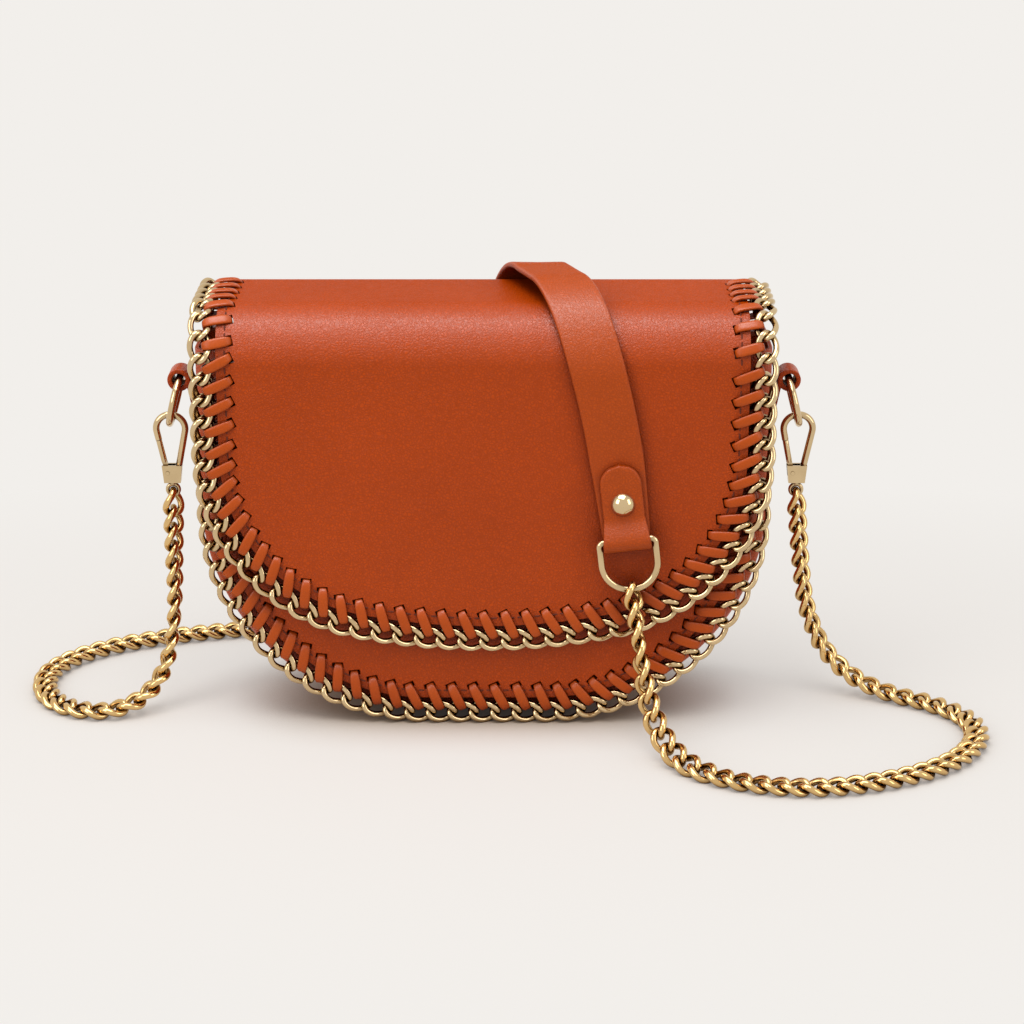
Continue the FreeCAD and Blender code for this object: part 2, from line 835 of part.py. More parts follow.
magnet_space = flap_middle - panel_middle - size("flap_leather") / 2 - size("panel_leather") / 2
lower_thickness = (magnet_space - size("magnet_air_gap")) * size("lower_magnet_share")
panel_face = front_middle - size("panel_leather") / 2
flap_face = flap_front + size("flap_leather") / 2
washer_face = front_middle + size("panel_leather") / 2
lace_room = "Sizes.flap_gap + 2 * Sizes.lace_lift + 2 * Sizes.lace_wall"
leather_room = "Sizes.panel_leather / 2 - Sizes.flap_leather / 2"
magnet_depth = f"({lace_room} + {leather_room} - Sizes.magnet_air_gap)"
lower_depth = f"{magnet_depth} * Sizes.lower_magnet_share"
upper_depth = f"{magnet_depth} * (1 - Sizes.lower_magnet_share)"
disc("lower_magnet", "Sizes.magnet_radius", lower_depth, panel_face - lower_thickness)
disc("upper_magnet", "Sizes.magnet_radius", upper_depth, flap_face)
disc("magnet_washer", "Sizes.washer_radius", "Sizes.washer_wall", washer_face)

# Side tabs, rings and snap hooks


def tab(name, side):
    """A leather strip on the gusset that rolls over into a loop for the ring."""
    wall = size("tab_leather")
    foot = gusset_side
    bore = size("tab_loop_bore")
    center = foot + size("tab_loop_reach")
    height = size("tab_loop_height")
    bend = height - size("tab_bend_drop")
    bottom = height - size("tab_foot_drop")
    near = center - bore - wall
    strip = [
        (foot, bottom),
        (foot + wall, bottom),
        (foot + wall, bend),
        (near + wall, height),
        (near, height),
        (foot, bend),
    ]
    body = new_body(name)
    loop = [circle(side * center, height, bore + wall), circle(side * center, height, bore)]
    ring_sketch = add_sketch(body, "XZ_Plane", name + "_loop", loop)
    add_pad(body, ring_sketch, name + "_loop_pad", "Sizes.tab_width", both_ways=True)
    strip_outline = polygon([(side * x, z) for x, z in strip])
    strip_sketch = add_sketch(body, "XZ_Plane", name + "_strip", strip_outline)
    add_pad(body, strip_sketch, name + "_strip_pad", "Sizes.tab_width", both_ways=True)
    body.Placement.Base = vector(0, tub_shift, 0)
    return node(name, body)


loop_x = gusset_side + size("tab_loop_reach")
ring_lean = math.radians(size("ring_tilt"))
ring_low_x = loop_x + (2 * size("ring_radius") - size("ring_sit")) * math.sin(ring_lean)
ring_low_z = size("tab_loop_height") - (2 * size("ring_radius") - size("ring_sit")) * math.cos(ring_lean)
hook_x = ring_low_x
bow_top = ring_low_z + size("ring_wire") / 2 + size("hook_wire") / 2 + size("hook_hang_gap")
hook_z = bow_top - size("hook_bow") - size("hook_bow_height")


def side_ring(name, side):
    """A round ring that hangs in the tab's loop, leaning out."""
    ring = doc.addObject("Part::Torus", name)
    ring.setExpression("Radius1", "Sizes.ring_radius")
    ring.setExpression("Radius2", "Sizes.ring_wire / 2")
    reach = size("ring_radius") - size("ring_sit")
    down = vector(side * math.sin(ring_lean), 0, -math.cos(ring_lean))
    center = vector(side * loop_x, tub_shift, size("tab_loop_height")) + down * reach
    ring.Placement = Placement(center, Rotation(Z_AXIS, down.cross(Y_AXIS)))
    return node(name, ring)


def tangent_foot(foot_x):
    """Where a line from the hook's foot at foot_x touches the bow's circle, as (x, z)."""
    center = Vector(0, 0, size("hook_bow_height"))
    foot = Vector(foot_x, 0, 0)
    away = foot - center
    distance = away.Length
    lift = math.acos(size("hook_bow") / distance)
    side = math.copysign(1, foot_x)
    base = math.atan2(away.z, away.x)
    angle = base + side * lift
    return size("hook_bow") * math.cos(angle), center.z + size("hook_bow") * math.sin(angle)


def bow_sketch(body, name, side, low_share):
    """Half of the hook's bow, from the top over one shoulder and down that side."""
    touch = vector(*tangent_foot(side * size("hook_foot")), 0)
    foot = vector(side * size("hook_foot"), 0, 0)
    center = vector(0, size("hook_bow_height"), 0)
    top = center + Y_AXIS * size("hook_bow")
    middle = ((top - center) + (touch - center)).normalize() * size("hook_bow") + center
    end = touch + (foot - touch) * low_share
    return add_sketch(body, "XZ_Plane", name, [Part.Arc(top, middle, touch), Part.LineSegment(touch, end)])


touch_x, touch_z = tangent_foot(-size("hook_foot"))
nose_share = (touch_z - size("hook_nose_height")) / touch_z
side_lean = math.atan2(touch_x + size("hook_foot"), touch_z)


def snap_hook(name, side):
    """A snap hook's frame: a teardrop bow, open at the gate, on a tapered base with a swivel bore."""
    body = new_body(name)
    top = size("hook_bow_height") + size("hook_bow")
    for half, low_share, label in ((1, 1, "fixed"), (-1, nose_share, "nose")):
        round_wire = [circle(0, top, size("hook_wire") / 2)]
        profile = add_sketch(body, "YZ_Plane", f"{name}_{label}_wire", round_wire)
        path = bow_sketch(body, f"{name}_{label}_path", half, low_share)
        pipe = body.newObject("PartDesign::AdditivePipe", f"{name}_{label}_bow")
        pipe.Profile = profile
        pipe.Spine = path
        body.Tip = pipe
    high = size("hook_base_top")
    low = size("hook_base_bottom")
    deep = -size("hook_base_height")
    plate_outline = polygon([(-high, 0), (high, 0), (low, deep), (-low, deep)])
    plate = add_sketch(body, "XZ_Plane", name + "_plate", plate_outline)
    add_pad(body, plate, name + "_base", "Sizes.hook_base_depth", both_ways=True)
    clear = size("gate_clearance")
    floor = -size("gate_pivot_drop") - size("gate_knuckle") - clear
    swing = size("gate_pivot_drop") * math.sin(math.radians(size("gate_opening")))
    slot_end = -size("gate_pivot_side") + size("gate_knuckle") + 2 * clear + swing
    slot = polygon([(-2 * high, clear), (slot_end, clear), (slot_end, floor), (-2 * high, floor)])
    slot_sketch = add_sketch(body, "XZ_Plane", name + "_slot", slot)
    add_pocket(body, slot_sketch, name + "_slot_cut", "Sizes.gate_tail + 2 * Sizes.gate_clearance")
    pin_hole = [circle(-size("gate_pivot_side"), -size("gate_pivot_drop"), size("gate_pin_wire") / 2)]
    pin_sketch = add_sketch(body, "XZ_Plane", name + "_pin_hole", pin_hole)
    add_pocket(body, pin_sketch, name + "_pin_bore", "2 * Sizes.hook_base_depth")
    stem_hole = [circle(0, 0, size("eye_stem") / 2 + size("hook_seat"))]
    bore = add_sketch(body, "XY_Plane", name + "_bore", stem_hole)
    bore.AttachmentOffset = Placement(vector(0, 0, deep), Rotation())
    add_pocket(body, bore, name + "_swivel_bore", "2 * Sizes.eye_stem_depth")
    body.Placement.Base = vector(side * hook_x, tub_shift, hook_z)
    return node(name, body)


def gate(name, side):
    """The hook's gate: a round bar up to the nose, with a flat tail on the pivot pin."""
    body = new_body(name)
    clear = size("gate_clearance")
    up = vector(math.sin(side_lean), math.cos(side_lean), 0)
    across = vector(math.cos(side_lean), -math.sin(side_lean), 0)
    pivot = vector(-size("gate_pivot_side"), -size("gate_pivot_drop"), 0)
    foot = vector(-size("hook_foot"), 0, 0)
    bar_low = foot + up * (size("gate_wire") / 2)
    nose = foot + up * (size("hook_nose_height") / math.cos(side_lean))
    bar_high = nose - up * clear
    half = size("gate_wire") / 2
    half_profile = [bar_low, bar_high, bar_high + across * half, bar_low + across * half]
    segments = [Part.LineSegment(a, b) for a, b in zip(half_profile, half_profile[1:] + half_profile[:1])]
    round_bar = add_sketch(body, "XZ_Plane", name + "_half", segments)
    turned = body.newObject("PartDesign::Revolution", name + "_bar")
    turned.Profile = round_bar
    turned.ReferenceAxis = (round_bar, ["Edge1"])
    turned.Angle = 360
    body.Tip = turned
    neck = size("gate_neck")
    tail = [pivot - across * neck, bar_low + up * half - across * neck]
    tail += [bar_low + up * half + across * neck, pivot + across * neck]
    tail_lines = [Part.LineSegment(a, b) for a, b in zip(tail, tail[1:] + tail[:1])]
    tail_sketch = add_sketch(body, "XZ_Plane", name + "_tail", tail_lines)
    add_pad(body, tail_sketch, name + "_tail_pad", "Sizes.gate_tail", both_ways=True)
    knuckle_round = [circle(pivot.x, pivot.y, size("gate_knuckle"))]
    knuckle = add_sketch(body, "XZ_Plane", name + "_knuckle", knuckle_round)
    add_pad(body, knuckle, name + "_knuckle_pad", "Sizes.gate_tail", both_ways=True)
    hole = [circle(pivot.x, pivot.y, size("gate_pin_wire") / 2 + clear / 2)]
    hole_sketch = add_sketch(body, "XZ_Plane", name + "_hole", hole)
    add_pocket(body, hole_sketch, name + "_bore", "2 * Sizes.hook_base_depth")
    body.Placement.Base = vector(side * hook_x, tub_shift, hook_z)
    return node(name, body)


def gate_pin(name, side):
    """The pin that the gate turns on, with its ends proud of the base."""
    pin = doc.addObject("Part::Cylinder", name)
    pin.setExpression("Radius", "Sizes.gate_pin_wire / 2")
    pin.setExpression("Height", "Sizes.hook_base_depth + 2 * Sizes.gate_pin_head")
    start_y = tub_shift - size("hook_base_depth") / 2 - size("gate_pin_head")
    place = vector(side * hook_x - size("gate_pivot_side"), start_y, hook_z - size("gate_pivot_drop"))
    pin.Placement = Placement(place, Rotation(X_AXIS, -90))
    return node(name, pin)


eye_z = hook_z - size("hook_base_height") - size("hook_seat") - size("eye_wire") / 2 - size("eye_radius")


def swivel_eye(name, side):
    """The swivel's eye under the hook, on a stem that turns in the base."""
    ring = doc.addObject("Part::Torus", name + "_ring")
    ring.setExpression("Radius1", "Sizes.eye_radius")
    ring.setExpression("Radius2", "Sizes.eye_wire / 2")
    center = vector(side * hook_x, tub_shift, eye_z)
    ring.Placement = Placement(center, Rotation(X_AXIS, 90))
    stem = doc.addObject("Part::Cylinder", name + "_stem")
    stem.setExpression("Radius", "Sizes.eye_stem / 2")
    stem.setExpression("Height", "Sizes.eye_stem_depth + Sizes.eye_wire / 2")
    stem.Placement = Placement(center + Z_AXIS * size("eye_radius"), Rotation())
    eye = doc.addObject("Part::Fuse", name)
    eye.Base = ring
    eye.Tool = stem
    return node(name, eye)


for side, word in ((-1, "left"), (1, "right")):
    tab(word + "_tab", side)
    side_ring(word + "_ring", side)
    snap_hook(word + "_hook", side)
    gate(word + "_gate", side)
    gate_pin(word + "_gate_pin", side)
    swivel_eye(word + "_swivel_eye", side)

# Shoulder strap


strap_front_y = flap_front - size("flap_leather") / 2 - size("strap_stand_off")
strap_rear_y = back_middle + size("panel_leather") / 2 + size("strap_stand_off")
strap_under = size("flap_top") + size("strap_lift")
strap_out = size("strap_leather")


def strap_run(edges_out):
    """The strap's side view, edges_out from its inner face, from the front fold to the rear fold."""
    low = size("strap_fold_height")
    front = strap_front_y - edges_out
    rear = strap_rear_y + edges_out
    front_bend = size("strap_front_bend") + edges_out
    rear_bend = size("strap_rear_bend") + edges_out
    top = strap_under + edges_out
    front_center = (strap_front_y + size("strap_front_bend"), strap_under - size("strap_front_bend"))
    rear_center = (strap_rear_y - size("strap_rear_bend"), strap_under - size("strap_rear_bend"))
    diagonal = math.sqrt(0.5)
    return [
        Part.LineSegment(vector(0, front, low), vector(0, front, front_center[1])).toShape(),
        Part.Arc(
            vector(0, front, front_center[1]),
            vector(0, front_center[0] - diagonal * front_bend, front_center[1] + diagonal * front_bend),
            vector(0, front_center[0], top),
        ).toShape(),
        Part.LineSegment(vector(0, front_center[0], top), vector(0, rear_center[0], top)).toShape(),
        Part.Arc(
            vector(0, rear_center[0], top),
            vector(0, rear_center[0] + diagonal * rear_bend, rear_center[1] + diagonal * rear_bend),
            vector(0, rear, rear_center[1]),
        ).toShape(),
        Part.LineSegment(vector(0, rear, rear_center[1]), vector(0, rear, low)).toShape(),
    ]


inner_run = strap_run(0)
strap_length = sum(edge.Length for edge in inner_run)


def strap_station(distance):
    """A point on the strap's inner middle line, with the directions along it, across it and out of it.

    The strap runs to the left as it goes over the bag: least at its ends, and most at the top.
    """
    spot, ahead = place_along(inner_run, distance)
    turn = 2 * math.pi / strap_length
    drift = size("strap_slope") * distance - size("strap_sway") * math.sin(turn * distance) / turn
    lean = math.atan(size("strap_slope") - size("strap_sway") * math.cos(turn * distance))
    spot.x = size("strap_front_x") - drift
    along = ahead * math.cos(lean) - X_AXIS * math.sin(lean)
    outward = X_AXIS.cross(ahead)
    across = along.cross(outward)
    return spot, along, across, outward


def strap_section(distance, width):
    """The strap's cross section, as a closed wire."""
    spot, along, across, outward = strap_station(distance)
    half = across * (width / 2)
    thick = outward * strap_out
    corners = [spot - half, spot + half, spot + half + thick, spot - half + thick]
    return Part.makePolygon(corners + corners[:1])


def strap_width_at(distance):
    """The strap narrows towards both of its ends."""
    from_end = min(distance, strap_length - distance)
    share = min(from_end / size("strap_taper"), 1)
    return size("strap_end_width") + (size("strap_width") - size("strap_end_width")) * share


def strap_stops():
    """Distances at which the strap's section is set, closest on the bends."""
    stops = [0.0, size("strap_taper")]
    done = 0
    for edge in inner_run:
        steps = BEND_STEPS if edge.Curve.TypeId == "Part::GeomCircle" else RUN_STEPS
        stops += [done + edge.Length * n / steps for n in range(1, steps + 1)]
        done += edge.Length
    stops.append(strap_length - size("strap_taper"))
    return sorted(set(round(stop, 6) for stop in stops))


fold_inner = size("strap_ring_wire") / 2 + size("strap_ring_clearance")


def fold_frame(front):
    """The placement of a strap end: X across the strap, Y out of it and Z up along it, at the fold."""
    spot, along, across, outward = strap_station(0 if front else strap_length)
    up = along if front else along * -1
    side = outward.cross(up)
    return Placement(spot, axes_rotation(side, outward, up))


def strap_fold():
    """The turned-back end round the ring's bar, with its half-round tab, in the fold's own frame."""
    wall = strap_out
    far = wall + 2 * fold_inner
    rise = size("strap_tab_rise")
    tip = size("strap_tab_length")
    lap = size("strap_ring_clearance") / 2
    half = size("strap_end_width") / 2

    def at(out, up):
        return vector(0, out, up)

    middle = wall + fold_inner
    outer = [
        Part.Arc(at(0, 0), at(middle, -fold_inner - wall), at(far + wall, 0)).toShape(),
        Part.LineSegment(at(far + wall, 0), at(2 * wall + lap, rise)).toShape(),
        Part.LineSegment(at(2 * wall + lap, rise), at(2 * wall + lap, tip)).toShape(),
        Part.LineSegment(at(2 * wall + lap, tip), at(wall + lap, tip)).toShape(),
        Part.LineSegment(at(wall + lap, tip), at(wall + lap, rise)).toShape(),
        Part.LineSegment(at(wall + lap, rise), at(far, 0)).toShape(),
        Part.Arc(at(far, 0), at(middle, -fold_inner), at(wall, 0)).toShape(),
        Part.LineSegment(at(wall, 0), at(0, 0)).toShape(),
    ]
    band = Part.Face(Part.Wire(outer)).extrude(X_AXIS * (2 * half)).translated(X_AXIS * -half)
    crown = tip - half
    limit = Part.makeBox(2 * half, 4 * far, crown + far, vector(-half, -far, -far))
    cap = Part.makeCylinder(half, 4 * far, vector(0, -far, crown), Y_AXIS)
    return band.common(limit.fuse(cap))


def shoulder_strap():
    """The leather strap, draped over the bag, with a turned-back end at each ring."""
    sections = [strap_section(stop, strap_width_at(stop)) for stop in strap_stops()]
    drape = Part.makeLoft(sections, True, True)
    shape = drape
    hole_radius = size("rivet_shank") / 2 + size("strap_ring_clearance") / 2
    for front in (True, False):
        frame = fold_frame(front)
        shape = shape.fuse(placed(strap_fold(), frame))
        hole_start = vector(0, -strap_out, size("strap_rivet_height"))
        hole = Part.makeCylinder(hole_radius, 8 * strap_out, hole_start, Y_AXIS)
        shape = shape.cut(placed(hole, frame))
    return node("shoulder_strap", add_shape("shoulder_strap", shape.removeSplitter()))


shoulder_strap()


def strap_ring(name, front):
    """A D-shaped ring: a straight bar in the strap's fold and a round bow below it."""
    wire = size("strap_ring_wire")
    half = size("strap_end_width") / 2 + wire / 2 + size("strap_ring_clearance")
    drop = size("strap_ring_drop")
    corner = size("strap_ring_corner")
    body = new_body(name)
    bend = corner * math.sqrt(0.5)
    low = -(drop - half)
    spots = [
        (half - corner, 0),
        (half - corner + bend, -corner + bend),
        (half, -corner),
        (half, low),
        (0, low - half),
        (-half, low),
        (-half, -corner),
        (-half + corner - bend, -corner + bend),
        (-half + corner, 0),
    ]
    a, b, c, d, e, f, g, m, k = [vector(x, z, 0) for x, z in spots]
    middle = vector(0, 0, 0)
    geometry = [
        Part.LineSegment(middle, a),
        Part.Arc(a, b, c),
        Part.LineSegment(c, d),
        Part.Arc(d, e, f),
        Part.LineSegment(f, g),
        Part.Arc(g, m, k),
        Part.LineSegment(k, middle),
    ]
    path = add_sketch(body, "XZ_Plane", name + "_path", geometry)
    profile = add_sketch(body, "YZ_Plane", name + "_wire", [circle(0, 0, wire / 2)])
    pipe = body.newObject("PartDesign::AdditivePipe", name + "_pipe")
    pipe.Profile = profile
    pipe.Spine = path
    body.Tip = pipe
    frame = fold_frame(front)
    bar = frame.multVec(vector(0, strap_out + fold_inner, 0))
    body.Placement = Placement(bar, frame.Rotation)
    return node(name, body)


def rivet(name, front):
    """A domed rivet through both layers of the strap's end, with a flat flange behind."""
    shank = size("rivet_shank") / 2
    head = size("rivet_head") / 2
    flange = size("rivet_flange") / 2
    behind = -size("rivet_flange_wall")
    face = 2 * strap_out + size("strap_ring_clearance") / 2
    dome = size("rivet_dome")
    ball = (head * head + dome * dome) / (2 * dome)
    center = face + dome - ball
    half_angle = math.asin(head / ball) / 2
    shoulder = (ball * math.sin(half_angle), center + ball * math.cos(half_angle))
    corners = [(0, face + dome), (0, behind), (flange, behind), (flange, 0)]
    corners += [(shank, 0), (shank, face), (head, face)]
    lines = [
        Part.LineSegment(vector(a[0], a[1], 0), vector(b[0], b[1], 0)) for a, b in zip(corners, corners[1:])
    ]
    lines.append(Part.Arc(vector(head, face, 0), vector(*shoulder, 0), vector(0, face + dome, 0)))
    body = new_body(name)
    sketch = add_sketch(body, "XY_Plane", name + "_half", lines)
    turned = body.newObject("PartDesign::Revolution", name + "_turned")
    turned.Profile = sketch
    turned.ReferenceAxis = (sketch, ["V_Axis"])
    turned.Angle = 360
    body.Tip = turned
    frame = fold_frame(front)
    body.Placement = Placement(frame.multVec(vector(0, 0, size("strap_rivet_height"))), frame.Rotation)
    return node(name, body)


for word, front in (("front", True), ("rear", False)):
    strap_ring(word + "_strap_ring", front)
    rivet(word + "_rivet", front)

# Strap chains


strap_link_length = link_length(size("strap_pitch"), size("strap_wire"))
link_reach = (strap_link_length - size("strap_wire")) / 2


def ring_hold(front, toward):
    """Where the end of a chain's end link sits in a strap ring, when the chain leaves toward a point."""
    frame = fold_frame(front)
    seat = size("strap_ring_wire") / 2 + size("strap_wire") / 2 + size("hook_seat")
    low = frame.multVec(vector(0, strap_out + fold_inner, -size("strap_ring_drop")))
    return low + (low - toward).normalize() * seat


def eye_hold(side):
    """Where the chain's end link hangs in a swivel's eye."""
    lift = size("eye_wire") / 2 + size("strap_wire") / 2 + size("hook_seat")
    return vector(side * hook_x, tub_shift, eye_z - size("eye_radius") + lift)


def route_edges(points):
    """Straight runs with a tangent arc at each point, as large as its two runs allow."""
    edges = []
    start = points[0]
    radii = []
    for before, corner, after in zip(points, points[1:], points[2:]):
        back = (before - corner).normalize()
        onward = (after - corner).normalize()
        shorter = min((before - corner).Length, (after - corner).Length)
        turn = math.pi - back.getAngle(onward)
        cut = CORD_BEND * shorter
        radii.append(cut / math.tan(turn / 2))
        enter = corner + back * cut
        leave = corner + onward * cut
        center = corner + (back + onward).normalize() * (radii[-1] / math.cos(turn / 2))
        middle = center + (corner - center).normalize() * radii[-1]
        edges.append(Part.LineSegment(start, enter).toShape())
        edges.append(Part.Arc(enter, middle, leave).toShape())
        start = leave
    edges.append(Part.LineSegment(start, points[-1]).toShape())
    return edges, radii


def carried(facing, along):
    """A link's facing, carried on from its neighbour without turning about the chain."""
    return (facing - along * facing.dot(along)).normalize()


def turn_about(along, facing, wanted):
    """The angle about the chain from a link's facing to the wanted one, in degrees."""
    flat = carried(wanted, along)
    return math.degrees(math.atan2(facing.cross(flat).dot(along), facing.dot(flat)))


def chain_links(points, hang):
    """The links along a route, flat on the floor, and turned at both ends so that the end links face hang.

    A link looks the same after half a turn. Neighbours clear each other when the chain turns one way only.
    """
    edges, radii = route_edges(points)
    length = sum(edge.Length for edge in edges)
    gaps = math.ceil((length - 2 * link_reach) / size("strap_pitch"))
    inside = trimmed_stations(edges, gaps + 1, link_reach)
    middle = gaps // 2
    facings = {middle: carried(Z_AXIS, inside[middle][1])}
    for n in range(middle + 1, gaps + 1):
        facings[n] = carried(facings[n - 1], inside[n][1])
    for n in range(middle - 1, -1, -1):
        facings[n] = carried(facings[n + 1], inside[n][1])
    slack = size("end_link_slack")
    first_turn = (turn_about(inside[0][1], facings[0], hang) + slack) % HALF_TURN - slack
    last_turn = slack - (slack - turn_about(inside[gaps][1], facings[gaps], hang)) % HALF_TURN
    link = curb_link(strap_link_length, size("strap_link_width"), size("strap_wire"), size("link_twist"))
    links = []
    for n, (point, along) in enumerate(inside):
        from_first = max(0, 1 - n / size("chain_turn_links"))
        from_last = max(0, 1 - (gaps - n) / size("chain_turn_links"))
        turn = Rotation(along, first_turn * from_first + last_turn * from_last)
        links.append(placed(link, frame_placement(point, along, turn.multVec(facings[n]))))
    print("chain", round(length, 1), "mm,", len(links), "links, least bend", round(min(radii), 1), "mm")
    return links


facing_angle = math.radians(size("end_link_facing"))
end_link_facing = vector(math.cos(facing_angle), math.sin(facing_angle), 0)
right_route = [vector(*spot) for spot in RIGHT_ROUTE]
right_route = [ring_hold(True, right_route[0])] + right_route + [eye_hold(1)]
left_route = [vector(*spot) for spot in LEFT_ROUTE]
left_route = [eye_hold(-1)] + left_route + [ring_hold(False, left_route[-1])]
right_links = chain_links(right_route, end_link_facing)
left_links = chain_links(left_route, end_link_facing)
node("left_chain", add_shape("left_chain", Part.makeCompound(left_links)))
span_starts = [0] + list(range(int(size("flap_links")), len(right_links), int(size("span_links"))))
for n, (low, high) in enumerate(zip(span_starts, span_starts[1:] + [len(right_links)]), start=1):
    label = f"right_chain_{n}"
    node(label, add_shape(label, Part.makeCompound(right_links[low:high])))

# Check every object, then write each sub-part

doc.recompute()
for item in doc.Objects:
    bad = [state for state in item.State if state in ("Invalid", "Error")]
    if bad:
        raise RuntimeError(f"{item.Label}: {bad}")
for item in NODES:
    if item.Shape.isNull() or not item.Shape.isValid():
        raise RuntimeError(f"{item.Label}: shape is not valid")
os.makedirs("parts", exist_ok=True)
for item in NODES:
    item.Shape.exportStep(f"parts/{item.Label}.step")
    print(item.Label, len(item.Shape.Solids), "solids", round(item.Shape.Volume, 1), "cubic mm")
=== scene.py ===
"""Looks of a half-moon chain shoulder bag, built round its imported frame. Metres, in the frame's axes."""
import json
import math
import random

import bmesh
import bpy
import numpy as np
from mathutils import Matrix, Vector


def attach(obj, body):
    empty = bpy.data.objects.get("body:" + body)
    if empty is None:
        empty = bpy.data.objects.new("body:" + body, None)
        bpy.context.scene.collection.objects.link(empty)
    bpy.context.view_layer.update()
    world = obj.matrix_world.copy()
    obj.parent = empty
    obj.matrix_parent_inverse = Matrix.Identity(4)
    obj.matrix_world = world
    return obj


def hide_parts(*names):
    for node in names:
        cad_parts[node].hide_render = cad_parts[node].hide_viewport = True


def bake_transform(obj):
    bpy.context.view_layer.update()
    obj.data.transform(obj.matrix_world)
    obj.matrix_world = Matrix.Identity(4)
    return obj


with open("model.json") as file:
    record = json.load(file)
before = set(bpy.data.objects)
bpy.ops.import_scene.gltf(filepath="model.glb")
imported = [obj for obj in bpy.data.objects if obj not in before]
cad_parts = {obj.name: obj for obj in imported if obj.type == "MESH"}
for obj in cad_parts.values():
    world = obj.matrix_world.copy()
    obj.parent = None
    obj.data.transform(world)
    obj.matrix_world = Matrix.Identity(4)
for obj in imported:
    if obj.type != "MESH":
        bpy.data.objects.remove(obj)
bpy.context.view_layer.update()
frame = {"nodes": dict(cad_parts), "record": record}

MM = 0.001
nodes = frame["nodes"]
bodies_of_nodes = {n: body for body, group in frame["record"]["behaviour"]["bodies"].items() for n in group}
chance = random.Random(7)

# Real sizes that the looks share with the solids
STRAP_LEATHER = 2.4 * MM
STRAP_WIDTH = 20.4 * MM
STRAP_END_WIDTH = 18.0 * MM
STRAP_TAPER = 30.0 * MM
STRAP_SLOPE = 0.245
STRAP_SWAY = 0.125
STRAP_FRONT_X = 54.0 * MM
STRAP_FOLD_HEIGHT = 79.5 * MM
STRAP_UNDER = 172.0 * MM
STRAP_FRONT_Y = -33.35 * MM
STRAP_REAR_Y = 33.35 * MM
STRAP_FRONT_BEND = 30.0 * MM
STRAP_REAR_BEND = 21.0 * MM
STRAP_TAB_LENGTH = 30.0 * MM
STRAP_TAB_WIDTH = 15.6 * MM
STRAP_TAB_RISE = 9.0 * MM
FOLD_INNER = 1.6 * MM
LAP_GAP = 0.1 * MM
LACE_WIDTH = 3.9 * MM
LACE_WALL = 1.4 * MM
LINK_LENGTH = 12.4 * MM
LINK_WIDTH = 9.8 * MM
LINK_WIRE = 2.3 * MM
LINK_TWIST = math.radians(45)
LINK_HANG = Vector((math.cos(math.radians(145)), math.sin(math.radians(145)), 0))
TURN_LINKS = 12
FLAP_LINKS = 3
SPAN_LINKS = 8
RIGHT_LINKS = 51
LEFT_LINKS = 54
PANEL_HALF = 98.6 * MM
PANEL_TOP = 148.0 * MM
PANEL_BOTTOM = 10.5 * MM
PANEL_CORNER = 75.5 * MM
FRONT_FACE = -26.05 * MM
BACK_FACE = 32.35 * MM
FLAP_HALF = 99.0 * MM
FLAP_BOTTOM = 43.0 * MM
FLAP_BOW = 239.5 * MM
FLAP_CORNER = 64.0 * MM
FLAP_TOP = 166.0 * MM
FLAP_FACE = -32.35 * MM
FLAP_BEND = 20.0 * MM
FLAP_REAR_BEND = 12.0 * MM
FLAP_TOP_END = 20.0 * MM

# Sizes of the looks alone
WELD_REACH = 1e-6
PANEL_EDGE_ROUND = 0.45 * MM
FITTING_EDGE_ROUND = 0.35 * MM
LINING_EDGE_ROUND = 0.3 * MM
FLAP_LINING_EDGE_ROUND = 0.25 * MM
METAL_EDGE_ROUND = 0.25 * MM
LEATHER_SHARP_EDGE = math.radians(40)
METAL_SHARP_EDGE = math.radians(50)
PLATED_WIRE = 2.65 * MM
TRIM_PLATING = 0.17 * MM
HOLE_FILL = 0.26 * MM
LACE_SWING = 0.07
LACE_LEAN = 0.12
LACE_ROOT_NARROWING = 0.24
LACE_BACK_WIDTH = 0.88
LACE_RUN_SQUARENESS = 3.2
LACE_RISE_SQUARENESS = 2.5
STITCH_INSET = 3.3 * MM
STITCH_END = 4.0 * MM
STITCH_PITCH = 3.3 * MM
STITCH_LENGTH = 2.5 * MM
THREAD_RADIUS = 0.3 * MM

# How closely a face must match the flap's true round to be shaded as that round, as a cosine
BEND_MATCH = 0.975

# The depth and height in the bag from which the lace turns point outwards
HEART_DEPTH = 0.003
HEART_HEIGHT = 0.12

# Where the chains run, in millimetres, with the ring and the swivel eye that each one ends in
FRONT_RING_HOLD = (56.03, -36.51, 62.69)
REAR_RING_HOLD = (-4.14, 36.85, 62.75)
RIGHT_EYE_HOLD = (121.55, 3.15, 86.36)
LEFT_EYE_HOLD = (-121.55, 3.15, 86.36)
RIGHT_ROUTE = [
    FRONT_RING_HOLD,
    (57.6, -41, 49),
    (59.4, -44.5, 34.5),
    (62, -50.5, 20.5),
    (66.2, -59, 9.8),
    (73.4, -70.5, 3.6),
    (86.7, -82.6, 2.7),
    (104.8, -90.2, 2.7),
    (126, -91.7, 2.7),
    (147.2, -86.1, 2.7),
    (166.4, -76.6, 2.7),
    (182, -62.4, 2.7),
    (190.1, -44.8, 2.7),
    (188.6, -27.1, 2.7),
    (176.5, -13, 2.7),
    (160.3, -3.5, 2.9),
    (146.3, 2.6, 7.6),
    (135.5, 4.8, 17.8),
    (128.6, 4.4, 32.5),
    (124.8, 3.7, 50),
    RIGHT_EYE_HOLD,
]
